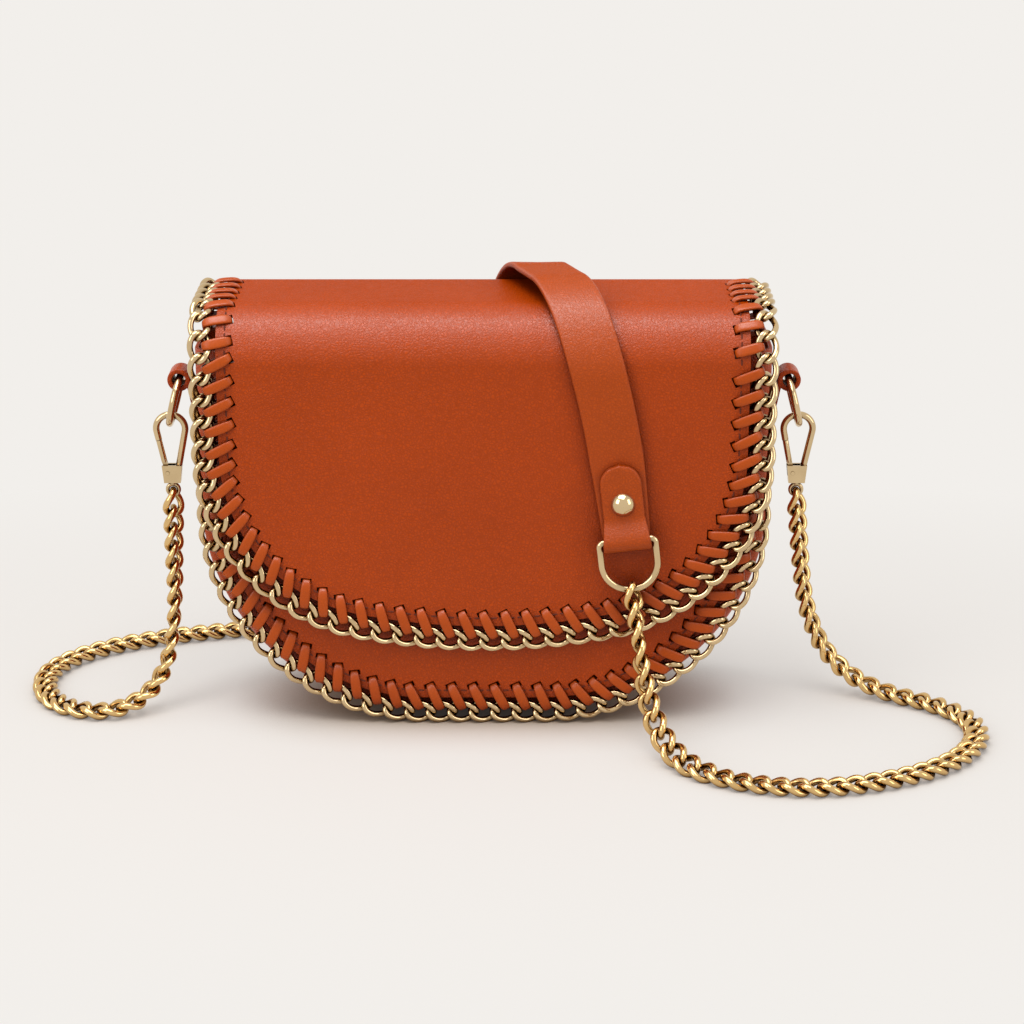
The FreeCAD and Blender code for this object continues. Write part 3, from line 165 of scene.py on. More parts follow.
LEFT_ROUTE = [
    LEFT_EYE_HOLD,
    (-122.3, 2.4, 63),
    (-122.2, 0.2, 45),
    (-123.2, -4, 29),
    (-126.2, -9.3, 15.5),
    (-133.6, -16.5, 6.6),
    (-145.9, -21.6, 2.9),
    (-160, -20, 2.7),
    (-171.1, -11, 2.7),
    (-177, 2.1, 2.7),
    (-178, 18.3, 2.7),
    (-171.1, 33.4, 2.7),
    (-158, 46, 2.7),
    (-139.3, 56.1, 2.7),
    (-116.1, 63.7, 2.7),
    (-90.9, 68.7, 2.7),
    (-64.7, 70, 2.7),
    (-43, 66.8, 3.1),
    (-27, 61, 8.2),
    (-15.8, 53, 19),
    (-8.6, 41.5, 38.5),
    REAR_RING_HOLD,
]

# Materials

# A painted highlight: the leather's specular strength by how far it faces upwards, strongest on the bends,
# weakest on the flat top.
# The two ends of the ramp come first.
LEATHER_PAINTED_SHEEN = [(0.0, 0.2), (1.0, 0.02), (0.55, 0.4), (0.78, 0.75), (0.94, 0.25)]

# Feature sizes of the leather, as texture scales per metre
CREASE_SCALE = 880
PORE_SCALE = 1300
WEAR_SCALE = 260
WAVE_SCALE = 35
TONE_SCALE = 16


class Shader:
    """A material's node tree, with short ways to add and join nodes."""

    def __init__(self, name):
        self.material = bpy.data.materials.new(name)
        self.material.use_nodes = True
        self.tree = self.material.node_tree
        self.surface = self.tree.nodes["Principled BSDF"]
        self.place = self.add("ShaderNodeTexCoord").outputs["Object"]

    def add(self, kind, **settings):
        made = self.tree.nodes.new(kind)
        for key, value in settings.items():
            setattr(made, key, value)
        return made

    def join(self, output, socket):
        self.tree.links.new(output, socket)

    def noise(self, scale, detail=3.0, roughness=0.5):
        made = self.add("ShaderNodeTexNoise")
        made.inputs["Scale"].default_value = scale
        made.inputs["Detail"].default_value = detail
        made.inputs["Roughness"].default_value = roughness
        self.join(self.place, made.inputs["Vector"])
        return made.outputs["Fac"]

    def cells(self, scale, feature, warp):
        """Cells whose places are pushed about by a noise, by a share of their size."""
        push = self.add("ShaderNodeTexNoise")
        push.inputs["Scale"].default_value = scale / 2
        self.join(self.place, push.inputs["Vector"])
        moved = self.add("ShaderNodeVectorMath", operation="MULTIPLY_ADD")
        moved.inputs[1].default_value = (warp / scale,) * 3
        self.join(push.outputs["Color"], moved.inputs[0])
        self.join(self.place, moved.inputs[2])
        made = self.add("ShaderNodeTexVoronoi", feature=feature)
        made.inputs["Scale"].default_value = scale
        self.join(moved.outputs["Vector"], made.inputs["Vector"])
        return made.outputs["Distance"]

    def times(self, color, other):
        """One colour multiplied by another."""
        made = self.add("ShaderNodeVectorMath", operation="MULTIPLY")
        self.join(color, made.inputs[0])
        self.join(other, made.inputs[1])
        return made.outputs["Vector"]

    def painted_hollow_shade(self, reach, dark):
        """Painted shade: white that turns dark in hollows and near other surfaces."""
        made = self.add("ShaderNodeAmbientOcclusion", samples=6)
        made.inputs["Distance"].default_value = reach
        return self.ramp(made.outputs["AO"], [(0.15, dark), (0.92, (1, 1, 1))])

    def ramp(self, value, stops):
        """Colours by value. The first two stops are the ramp's ends."""
        made = self.add("ShaderNodeValToRGB")
        for n, (at, color) in enumerate(stops):
            stop = made.color_ramp.elements[n] if n < 2 else made.color_ramp.elements.new(at)
            stop.position = at
            stop.color = (*color, 1)
        self.join(value, made.inputs["Fac"])
        return made.outputs["Color"]

    def span(self, value, low, high):
        """A value from 0 to 1 spread between low and high."""
        made = self.add("ShaderNodeMapRange")
        made.inputs["To Min"].default_value = low
        made.inputs["To Max"].default_value = high
        self.join(value, made.inputs["Value"])
        return made.outputs["Result"]

    def bump(self, height, distance, strength, below=None):
        """A normal pushed about by a height, on top of another one."""
        made = self.add("ShaderNodeBump")
        made.inputs["Distance"].default_value = distance
        made.inputs["Strength"].default_value = strength
        self.join(height, made.inputs["Height"])
        if below is not None:
            self.join(below, made.inputs["Normal"])
        return made.outputs["Normal"]


def leather(name, color, deep, grain, gloss):
    """Grained leather: fine creases between cells, soft waves and a slow change of colour, with painted
    shade along the creases and in hollows, and a painted sheen on the bends.
    """
    shader = Shader(name)
    surface = shader.surface
    edges = shader.cells(CREASE_SCALE, "DISTANCE_TO_EDGE", 2.2)
    tone = shader.ramp(shader.noise(TONE_SCALE, 5, 0.6), [(0.3, deep), (0.7, color)])
    # Painted shade: the colour darkens along the creases between the grain's cells.
    crease_shade = 1 - 0.24 * grain
    tone = shader.times(tone, shader.ramp(edges, [(0.0, (crease_shade, crease_shade, crease_shade)), (0.3, (1, 1, 1))]))
    # Painted shade: darker in hollows and under overhangs up to 22 mm away, such as the front panel under
    # the flap and the flap beside the strap.
    tone = shader.times(tone, shader.painted_hollow_shade(22 * MM, (0.4, 0.29, 0.22)))
    shader.join(tone, surface.inputs["Base Color"])
    waves = shader.bump(shader.noise(WAVE_SCALE, 2), 1.2 * MM, 0.2)
    folds = shader.ramp(edges, [(0.0, (0, 0, 0)), (0.28, (1, 1, 1))])
    creases = shader.bump(folds, 0.25 * MM, 0.5 * grain, waves)
    pores = shader.bump(shader.noise(PORE_SCALE, 4, 0.6), 0.25 * MM, 0.5 * grain, creases)
    shader.join(pores, surface.inputs["Normal"])
    wear = shader.span(shader.noise(WEAR_SCALE, 4), gloss - 0.07, gloss + 0.09)
    shader.join(wear, surface.inputs["Roughness"])
    # Painted highlight: the specular strength follows how far the surface faces upwards.
    upward = shader.add("ShaderNodeSeparateXYZ")
    shader.join(shader.add("ShaderNodeNewGeometry").outputs["Normal"], upward.inputs[0])
    painted_sheen = [(at, (level,) * 3) for at, level in LEATHER_PAINTED_SHEEN]
    shader.join(shader.ramp(upward.outputs["Z"], painted_sheen), surface.inputs["Specular IOR Level"])
    return shader.material


def cloth(name, color, deep):
    """Plain woven cloth."""
    shader = Shader(name)
    surface = shader.surface
    tone = shader.ramp(shader.noise(900, 2), [(0.35, deep), (0.65, color)])
    shader.join(tone, surface.inputs["Base Color"])
    shader.join(shader.bump(shader.noise(1500, 2), 0.2 * MM, 0.4), surface.inputs["Normal"])
    surface.inputs["Roughness"].default_value = 0.85
    return shader.material


def plated(name, color, deep, roughness):
    """Polished plate with faint wear, and painted shade in its hollows."""
    shader = Shader(name)
    surface = shader.surface
    tone = shader.ramp(shader.noise(120, 4), [(0.35, deep), (0.65, color)])
    # Painted shade: darker in hollows and near other surfaces, up to 5 mm away.
    tone = shader.times(tone, shader.painted_hollow_shade(5 * MM, (0.14, 0.08, 0.03)))
    shader.join(tone, surface.inputs["Base Color"])
    wear = shader.span(shader.noise(300, 4), roughness - 0.03, roughness + 0.05)
    shader.join(wear, surface.inputs["Roughness"])
    surface.inputs["Metallic"].default_value = 1.0
    return shader.material


BODY_LEATHER = leather("body leather", (0.5, 0.061, 0.001), (0.445, 0.053, 0.0007), 1.0, 0.37)
STRAP_SKIN = leather("strap leather", (0.485, 0.07, 0.004), (0.43, 0.06, 0.003), 0.8, 0.37)
LACE_SKIN = leather("lace leather", (0.51, 0.08, 0.005), (0.43, 0.061, 0.003), 0.3, 0.36)
THREAD = cloth("thread", (0.15, 0.024, 0.006), (0.1, 0.015, 0.004))
LINING = cloth("lining cloth", (0.30, 0.17, 0.09), (0.24, 0.13, 0.07))
GOLD = plated("pale gold", (0.68, 0.51, 0.29), (0.61, 0.45, 0.25), 0.1)
CHAIN_GOLD = plated("chain gold", (0.76, 0.51, 0.22), (0.7, 0.46, 0.19), 0.12)
CLOSURE = plated("closure metal", (0.62, 0.59, 0.52), (0.56, 0.53, 0.47), 0.3)

# Pieces


def new_piece(name, mesh, material, body, slot, *stands_for):
    """An object on a body that stands for solids of the frame."""
    piece = bpy.data.objects.new(name, mesh)
    bpy.context.scene.collection.objects.link(piece)
    mesh.materials.clear()
    mesh.materials.append(material)
    for face in mesh.polygons:
        face.use_smooth = True
    if body:
        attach(piece, body)
    if stands_for:
        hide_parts(*stands_for)
    return piece


def welded(node):
    """A copy of a node's mesh whose faces share their corners."""
    shape = bmesh.new()
    shape.from_mesh(nodes[node].data)
    bmesh.ops.remove_doubles(shape, verts=shape.verts, dist=WELD_REACH)
    mesh = bpy.data.meshes.new(node + "_skin")
    shape.to_mesh(mesh)
    shape.free()
    return mesh


def soft_copy(node, material, slot, edge):
    """The node's own shape with turned, rounded edges."""
    piece = new_piece(node + "_skin", welded(node), material, bodies_of_nodes[node], slot, node)
    bevel = piece.modifiers.new("rounded edges", "BEVEL")
    bevel.width = edge
    bevel.segments = 3
    bevel.limit_method = "ANGLE"
    bevel.angle_limit = LEATHER_SHARP_EDGE
    bevel.harden_normals = True
    return piece


def settle(piece):
    """Turns a piece's modifiers into its own mesh."""
    seen = piece.evaluated_get(bpy.context.evaluated_depsgraph_get())
    mesh = bpy.data.meshes.new_from_object(seen)
    piece.modifiers.clear()
    piece.data = mesh


def flap_normal(spot):
    """The way that the flap's outside faces at a point of it: front, bend, top, bend and back."""
    front = Vector((0, FLAP_FACE + FLAP_BEND, FLAP_TOP - FLAP_BEND))
    rear = Vector((0, BACK_FACE - FLAP_REAR_BEND, FLAP_TOP - FLAP_REAR_BEND))
    if spot.y < front.y:
        away = Vector((0, spot.y - front.y, max(0, spot.z - front.z)))
    elif spot.y > rear.y:
        away = Vector((0, spot.y - rear.y, max(0, spot.z - rear.z)))
    else:
        away = Vector((0, 0, 1))
    return away.normalized()


def smooth_bends(mesh):
    """Shades the flap's two bends as true rounds."""
    facings = [corner.vector.copy() for corner in mesh.corner_normals]
    for face in mesh.polygons:
        for corner in face.loop_indices:
            true = flap_normal(mesh.vertices[mesh.loops[corner].vertex_index].co)
            match = face.normal.dot(true)
            if abs(match) > BEND_MATCH:
                facings[corner] = true * math.copysign(1, match)
    mesh.normals_split_custom_set(facings)


for node in ("front_panel", "back_panel"):
    soft_copy(node, BODY_LEATHER, "body_leather", PANEL_EDGE_ROUND)
flap_skin = soft_copy("flap", BODY_LEATHER, "body_leather", PANEL_EDGE_ROUND)
settle(flap_skin)
smooth_bends(flap_skin.data)
for node in ("gusset", "left_tab", "right_tab"):
    soft_copy(node, BODY_LEATHER, "body_leather", FITTING_EDGE_ROUND)
soft_copy("lining", LINING, "lining_cloth", LINING_EDGE_ROUND)
soft_copy("flap_lining", LINING, "lining_cloth", FLAP_LINING_EDGE_ROUND)


def swept(name, stations, section):
    """A mesh of section points, (across, out), carried along stations of (point, across, out, scale)."""
    verts = []
    for point, across, out, scale in stations:
        verts += [point + across * (u * scale) + out * v for u, v in section]
    ring = len(section)
    faces = []
    for n in range(len(stations) - 1):
        for k in range(ring):
            a = n * ring + k
            b = n * ring + (k + 1) % ring
            faces.append((a, b, b + ring, a + ring))
    faces.append(tuple(range(ring - 1, -1, -1)))
    last = (len(stations) - 1) * ring
    faces.append(tuple(range(last, last + ring)))
    mesh = bpy.data.meshes.new(name)
    mesh.from_pydata(verts, [], faces)
    return mesh


def soft_section(width, thickness, side, top=3.0, steps=32):
    """A flat strip's section with rounded edges, centred."""
    points = []
    for n in range(steps):
        angle = 2 * math.pi * n / steps
        c = math.cos(angle)
        s = math.sin(angle)
        points.append((
            math.copysign(abs(c) ** (2 / side), c) * width / 2,
            math.copysign(abs(s) ** (2 / top), s) * thickness / 2,
        ))
    return points


# Shoulder strap


def strap_line():
    """The strap's inner side view as runs: ("line", start, end) or ("arc", center, radius, first, last)."""
    front_center = (STRAP_FRONT_Y + STRAP_FRONT_BEND, STRAP_UNDER - STRAP_FRONT_BEND)
    rear_center = (STRAP_REAR_Y - STRAP_REAR_BEND, STRAP_UNDER - STRAP_REAR_BEND)
    return [
        ("line", (STRAP_FRONT_Y, STRAP_FOLD_HEIGHT), (STRAP_FRONT_Y, front_center[1])),
        ("arc", front_center, STRAP_FRONT_BEND, math.pi, math.pi / 2),
        ("line", (front_center[0], STRAP_UNDER), (rear_center[0], STRAP_UNDER)),
        ("arc", rear_center, STRAP_REAR_BEND, math.pi / 2, 0),
        ("line", (STRAP_REAR_Y, rear_center[1]), (STRAP_REAR_Y, STRAP_FOLD_HEIGHT)),
    ]


def run_length(run):
    """The length of one run of the strap's side view."""
    if run[0] == "line":
        return math.dist(run[1], run[2])
    return run[2] * abs(run[4] - run[3])


STRAP_RUNS = strap_line()
STRAP_LENGTH = sum(run_length(run) for run in STRAP_RUNS)


def strap_station(distance):
    """A point on the strap's inner middle line, and the directions along, across and out of it."""
    rest = distance
    for run in STRAP_RUNS:
        if rest <= run_length(run) or run is STRAP_RUNS[-1]:
            break
        rest -= run_length(run)
    share = rest / run_length(run)
    if run[0] == "line":
        (y0, z0), (y1, z1) = run[1:]
        spot = Vector((0, y0 + (y1 - y0) * share, z0 + (z1 - z0) * share))
        ahead = Vector((0, y1 - y0, z1 - z0)).normalized()
    else:
        angle = run[3] + (run[4] - run[3]) * share
        spot = Vector((0, run[1][0] + run[2] * math.cos(angle), run[1][1] + run[2] * math.sin(angle)))
        ahead = Vector((0, math.sin(angle), -math.cos(angle)))
    turn = 2 * math.pi / STRAP_LENGTH
    lean = math.atan(STRAP_SLOPE - STRAP_SWAY * math.cos(turn * distance))
    spot.x = STRAP_FRONT_X - STRAP_SLOPE * distance + STRAP_SWAY * math.sin(turn * distance) / turn
    along = ahead * math.cos(lean) - Vector((math.sin(lean), 0, 0))
    out = Vector((1, 0, 0)).cross(ahead)
    return spot, along, along.cross(out), out


def strap_width(distance):
    """The strap's width at a distance along it, narrower towards both ends."""
    share = min(1, min(distance, STRAP_LENGTH - distance) / STRAP_TAPER)
    return STRAP_END_WIDTH + (STRAP_WIDTH - STRAP_END_WIDTH) * share


def make_strap():
    """The draped strap, from its front fold over its two bends and the top to its rear fold."""
    steps = 150
    stations = []
    for n in range(steps + 1):
        distance = STRAP_LENGTH * n / steps
        spot, _, across, out = strap_station(distance)
        stations.append((spot + out * (STRAP_LEATHER / 2), across, out, strap_width(distance) / STRAP_WIDTH))
    mesh = swept("strap", stations, soft_section(STRAP_WIDTH, STRAP_LEATHER, side=16.0))
    strap = new_piece("strap", mesh, STRAP_SKIN, None, "body_leather", "shoulder_strap")
    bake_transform(strap)


def fold_line():
    """The turned-back end's middle line, as (out, up) points from the fold to the tab's tip."""
    middle = STRAP_LEATHER + FOLD_INNER
    radius = FOLD_INNER + STRAP_LEATHER / 2
    round_steps = 12
    rise_steps = 8
    flat_steps = 24
    points = []
    for n in range(round_steps + 1):
        angle = math.pi + math.pi * n / round_steps
        points.append((middle + radius * math.cos(angle), radius * math.sin(angle)))
    far = middle + radius
    near = STRAP_LEATHER * 1.5 + LAP_GAP
    for n in range(1, rise_steps + 1):
        share = n / rise_steps
        ease = share * share * (3 - 2 * share)
        points.append((far + (near - far) * ease, STRAP_TAB_RISE * share))
    for n in range(1, flat_steps + 1):
        points.append((near, STRAP_TAB_RISE + (STRAP_TAB_LENGTH - STRAP_TAB_RISE) * n / flat_steps))
    return points


def make_fold(name, front, body):
    """A strap end turned back round its ring, with a half-round tab."""
    spot, along, _, out = strap_station(0 if front else STRAP_LENGTH)
    up = along if front else -along
    side = out.cross(up)
    line = fold_line()
    half = STRAP_TAB_WIDTH / 2
    crown = STRAP_TAB_LENGTH - half
    stations = []
    for n, (v, w) in enumerate(line):
        before = line[max(n - 1, 0)]
        after = line[min(n + 1, len(line) - 1)]
        step = Vector((after[0] - before[0], after[1] - before[1])).normalized()
        normal = up * -step.x + out * step.y
        past = max(0.0, (w - crown) / half) if v > STRAP_LEATHER else 0.0
        taken = min(1, max(0.0, w / STRAP_TAB_RISE)) if v > STRAP_LEATHER else 0.0
        width = STRAP_END_WIDTH + (STRAP_TAB_WIDTH - STRAP_END_WIDTH) * taken
        narrow = math.sqrt(max(0.0004, 1 - past * past)) * width / STRAP_END_WIDTH
        stations.append((spot + out * v + up * w, side, normal, narrow))
    mesh = swept(name, stations, soft_section(STRAP_END_WIDTH, STRAP_LEATHER, side=16.0))
    new_piece(name, mesh, STRAP_SKIN, body, "body_leather")


make_strap()
make_fold("front_strap_end", True, "flap")
make_fold("rear_strap_end", False, "bag")

# Lacing


def islands(mesh):
    """The corners of each separate solid of a mesh, as arrays."""
    parent = list(range(len(mesh.vertices)))

    def root(v):
        while parent[v] != v:
            parent[v] = parent[parent[v]]
            v = parent[v]
        return v

    for edge in mesh.edges:
        a, b = (root(v) for v in edge.vertices)
        parent[a] = b
    groups = {}
    for v in mesh.vertices:
        groups.setdefault(root(v.index), []).append(v.co[:])
    return [np.array(group) for group in groups.values()]


def stitch_frame(corners):
    """A stitch's middle, its outward, width and facing directions, and its half run and half rise."""
    axes = np.linalg.eigh(np.cov((corners - corners.mean(axis=0)).T)).eigenvectors
    run = Vector(axes[:, 2])
    facing = Vector(axes[:, 1])
    middle = Vector(corners.mean(axis=0))
    outward = middle - Vector((0, middle.y, HEART_HEIGHT))
    inside = Vector((middle.x, HEART_DEPTH, min(middle.z, HEART_HEIGHT)))
    run *= math.copysign(1, run.dot(outward))
    facing *= math.copysign(1, facing.dot(middle - inside))
    across = facing.cross(run)
    reach = corners - np.array(middle)
    spans = []
    for axis in (run, facing):
        along = reach @ np.array(axis)
        spans.append((along.max() - along.min()) / 2)
        middle = middle + axis * (along.max() + along.min()) / 2
    return middle, run, across, facing, spans[0], spans[1]


def lace_stitch(corners):
    """One turn of lace that rises from its hole, arches over the edge and dives into its link."""
    middle, run, across, facing, half_run, half_rise = stitch_frame(corners)
    swing = Matrix.Rotation(chance.uniform(-LACE_SWING, LACE_SWING), 3, facing)
    run = swing @ run
    across = swing @ across
    middle = middle - run * (HOLE_FILL / 2)
    a = half_run + (HOLE_FILL - LACE_WALL) / 2
    b = half_rise - LACE_WALL / 2
    lean = chance.uniform(-LACE_LEAN, LACE_LEAN)
    steps = 40
    stations = []
    for n in range(steps):
        angle = 2 * math.pi * n / steps
        c = math.cos(angle)
        s = math.sin(angle)
        u = math.copysign(abs(c) ** (2 / LACE_RUN_SQUARENESS), c)
        v = math.copysign(abs(s) ** (2 / LACE_RISE_SQUARENESS), s)
        spot = middle + run * (a * u) + facing * (b * v)
        normal = (run * (u * abs(u) / a) + facing * (v * abs(v) ** 0.6 / b)).normalized()
        roll = Matrix.Rotation(lean * max(0, v) * c, 3, run)
        slim = 1 - LACE_ROOT_NARROWING * abs(u) ** 3 if v > 0 else LACE_BACK_WIDTH
        stations.append((spot, roll @ across, roll @ normal, slim))
    return stations


def make_lacing(node):
    """All the stitches of one edge, as one piece of closed loops."""
    section = soft_section(LACE_WIDTH, LACE_WALL, steps=14, side=4.5, top=2.4)
    verts = []
    faces = []
    for corners in islands(welded(node)):
        stations = lace_stitch(corners)
        first = len(verts)
        ring = len(section)
        for point, across, out, scale in stations:
            verts += [point + across * (u * scale) + out * v for u, v in section]
        for n in range(len(stations)):
            ahead = (n + 1) % len(stations)
            for k in range(ring):
                beside = (k + 1) % ring
                faces.append((
                    first + n * ring + k,
                    first + n * ring + beside,
                    first + ahead * ring + beside,
                    first + ahead * ring + k,
                ))
    mesh = bpy.data.meshes.new(node + "_lace")
    mesh.from_pydata(verts, [], faces)
    new_piece(node + "_lace", mesh, LACE_SKIN, bodies_of_nodes[node], "lace_leather", node)


for node in ("front_lacing", "back_lacing", "flap_lacing"):
    make_lacing(node)

# Lines that stitches and links follow


def along_line(points):
    """The distance of each point along a line."""
    travelled = [0.0]
    for a, b in zip(points, points[1:]):
        travelled.append(travelled[-1] + (b - a).length)
    return travelled


def place_on(points, travelled, distance):
    """The point and direction at a distance along a line."""
    n = min(max(int(np.searchsorted(travelled, distance)), 1), len(points) - 1)
    step = points[n] - points[n - 1]
    share = (distance - travelled[n - 1]) / max(travelled[n] - travelled[n - 1], 1e-9)
    return points[n - 1] + step * share, step.normalized()


def arc_points(center, radius, first, last):
    """Points along an arc, by angles in degrees."""
    steps = max(2, int(abs(last - first)))
    angles = [math.radians(first + (last - first) * n / steps) for n in range(steps + 1)]
    return [(center[0] + radius * math.cos(a), center[1] + radius * math.sin(a)) for a in angles]


# Machine stitching


def panel_edge(inset):
    """A panel's edge as (x, z) points, inset, from the top left round the bottom to the top right."""
    half = PANEL_HALF - inset
    side = PANEL_HALF - PANEL_CORNER
    height = PANEL_BOTTOM + PANEL_CORNER
    radius = PANEL_CORNER - inset
    corner = arc_points((-side, height), radius, 180, 270) + arc_points((side, height), radius, 270, 360)
    end = PANEL_TOP - STITCH_END
    return [(-half, end)] + corner + [(half, end)]


def flap_edge(inset):
    """The flap's front edge as (x, z) points, inset, from the left side round the bottom to the right."""
    half = FLAP_HALF - inset
    side = FLAP_HALF - FLAP_CORNER
    bow_height = FLAP_BOTTOM + FLAP_BOW
    height = bow_height - math.sqrt((FLAP_BOW - FLAP_CORNER) ** 2 - side**2)
    meet = math.degrees(math.atan2(height - bow_height, side)) % 360
    left = arc_points((-side, height), FLAP_CORNER - inset, 180, 540 - meet)
    low = arc_points((0, bow_height), FLAP_BOW - inset, 540 - meet, meet)
    right = arc_points((side, height), FLAP_CORNER - inset, meet, 360)
    return [(-half, FLAP_TOP - FLAP_BEND)] + left + low + right + [(half, FLAP_TOP - FLAP_BEND)]


def flap_side(x):
    """One side edge of the flap, from the front over its bend to the back of the top, as 3-D points."""
    center = (FLAP_FACE + FLAP_BEND, FLAP_TOP - FLAP_BEND)
    bend = arc_points(center, FLAP_BEND, 180, 90)
    return [Vector((x, y, z)) for y, z in bend + [(FLAP_TOP_END, FLAP_TOP)]]


def stitches(name, lines, body):
    """Short threads laid end to end along 3-D lines."""
    sides = 6
    steps = 6
    verts = []
    faces = []
    for line in lines:
        travelled = along_line(line)
        for n in range(int(travelled[-1] / STITCH_PITCH)):
            spot, along = place_on(line, travelled, (n + 0.5) * STITCH_PITCH)
            across = along.orthogonal().normalized()
            up = along.cross(across)
            first = len(verts)
            for step in range(steps + 1):
                share = 2 * step / steps - 1
                thick = THREAD_RADIUS * math.sqrt(max(0.02, 1 - share**4))
                for k in range(sides):
                    angle = 2 * math.pi * k / sides
                    rim = across * math.cos(angle) + up * math.sin(angle)
                    verts.append(spot + along * (share * STITCH_LENGTH / 2) + rim * thick)
            for step in range(steps):
                for k in range(sides):
                    a = first + step * sides + k
                    b = first + step * sides + (k + 1) % sides
                    faces.append((a, b, b + sides, a + sides))
    mesh = bpy.data.meshes.new(name)
    mesh.from_pydata(verts, [], faces)
    new_piece(name, mesh, THREAD, body, "lace_leather")


panel_line = panel_edge(STITCH_INSET)
flap_line = [Vector((x, FLAP_FACE, z)) for x, z in flap_edge(STITCH_INSET)]
side_lines = [flap_side(sign * (FLAP_HALF - STITCH_INSET)) for sign in (-1, 1)]
stitches("front_panel_stitches", [[Vector((x, FRONT_FACE, z)) for x, z in panel_line]], "bag")
stitches("back_panel_stitches", [[Vector((x, BACK_FACE, z)) for x, z in panel_line]], "bag")
stitches("flap_stitches", [flap_line] + side_lines, "flap")

# Strap chains


def spline_points(name, route):
    """Points along a chain's line, read from a smooth curve through its route."""
    curve = bpy.data.curves.new(name, "CURVE")
    curve.dimensions = "3D"
    curve.resolution_u = 24
    spline = curve.splines.new("NURBS")
    spline.points.add(len(route) - 1)
    for point, spot in zip(spline.points, route):
        point.co = (*(v * MM for v in spot), 1)
    spline.order_u = 3
    spline.use_endpoint_u = True
    guide = bpy.data.objects.new(name, curve)
    bpy.context.scene.collection.objects.link(guide)
    bpy.context.view_layer.update()
    line = bpy.data.meshes.new_from_object(guide)
    points = [v.co.copy() for v in line.vertices]
    bpy.data.objects.remove(guide)
    return points


def carried(facing, along):
    """A link's facing, carried on from its neighbour without turning about the chain."""
    return (facing - along * facing.dot(along)).normalized()


def turn_about(along, facing):
    """The angle about the chain from a link's facing to that of an end link, in radians."""
    flat = carried(LINK_HANG, along)
    return math.atan2(facing.cross(flat).dot(along), facing.dot(flat))


def link_places(points, count):
    """Each link's middle, direction and facing: flat on the floor, turned to hang at both ends."""
    travelled = along_line(points)
    reach = (LINK_LENGTH - LINK_WIRE) / 2
    pitch = (travelled[-1] - 2 * reach) / (count - 1)
    spots = [place_on(points, travelled, reach + n * pitch) for n in range(count)]
    middle = count // 2
    facings = {middle: carried(Vector((0, 0, 1)), spots[middle][1])}
    for n in range(middle + 1, count):
        facings[n] = carried(facings[n - 1], spots[n][1])
    for n in range(middle - 1, -1, -1):
        facings[n] = carried(facings[n + 1], spots[n][1])
    slack = math.radians(10)
    first_turn = (turn_about(spots[0][1], facings[0]) + slack) % math.pi - slack
    last_turn = slack - (slack - turn_about(spots[-1][1], facings[count - 1])) % math.pi
    places = []
    for n, (spot, along) in enumerate(spots):
        from_first = max(0, 1 - n / TURN_LINKS)
        from_last = max(0, 1 - (count - 1 - n) / TURN_LINKS)
        turn = Matrix.Rotation(first_turn * from_first + last_turn * from_last, 3, along)
        places.append((spot, along, turn @ facings[n]))
    return places, pitch


def link_shape():
    """One twisted oval link along X: its corners and faces."""
    a = (LINK_LENGTH - LINK_WIRE) / 2
    b = (LINK_WIDTH - LINK_WIRE) / 2

    def middle(t):
        turn = LINK_TWIST * math.cos(t)
        side = b * math.sin(t)
        return Vector((a * math.cos(t), side * math.cos(turn), side * math.sin(turn)))

    steps = 36
    round_steps = 12
    nudge = 0.01
    verts = []
    faces = []
    for n in range(steps):
        t = 2 * math.pi * n / steps
        ahead = (middle(t + nudge) - middle(t - nudge)).normalized()
        inward = carried(-middle(t), ahead)
        beside = ahead.cross(inward)
        for k in range(round_steps):
            angle = 2 * math.pi * k / round_steps
            rim = inward * math.cos(angle) + beside * math.sin(angle)
            verts.append(middle(t) + rim * (PLATED_WIRE / 2))
            faces.append((
                n * round_steps + k,
                n * round_steps + (k + 1) % round_steps,
                (n + 1) % steps * round_steps + (k + 1) % round_steps,
                (n + 1) % steps * round_steps + k,
            ))
    return verts, faces


LINK_VERTS, LINK_FACES = link_shape()


def chain_piece(name, places, body, *stands_for):
    """Links at their places, as one piece."""
    verts = []
    faces = []
    for spot, along, facing in places:
        across = facing.cross(along)
        turn = Matrix((along, across, facing)).transposed()
        first = len(verts)
        verts += [spot + turn @ corner for corner in LINK_VERTS]
        faces += [tuple(first + v for v in face) for face in LINK_FACES]
    mesh = bpy.data.meshes.new(name)
    mesh.from_pydata(verts, [], faces)
    return new_piece(name, mesh, CHAIN_GOLD, body, "gold_metal", *stands_for)


def make_left_chain():
    """The left chain, which stays with the bag."""
    points = spline_points("left_line", LEFT_ROUTE)
    places = link_places(points, LEFT_LINKS)[0]
    chain = chain_piece("left_chain_links", places, "bag", "left_chain")


def make_right_chain():
    """The right chain in the spans that follow the flap, the first of them on the flap itself."""
    points = spline_points("right_line", RIGHT_ROUTE)
    places, pitch = link_places(points, RIGHT_LINKS)
    starts = [0] + list(range(FLAP_LINKS, RIGHT_LINKS, SPAN_LINKS))
    ends = starts[1:] + [RIGHT_LINKS]
    for n, (low, high) in enumerate(zip(starts, ends), start=1):
        body = "flap" if n == 1 else f"chain_span_{n}"
        span = chain_piece(f"right_chain_{n}_links", places[low:high], body, f"right_chain_{n}")
        if n == 1:
            continue


make_left_chain()
make_right_chain()

# Metal

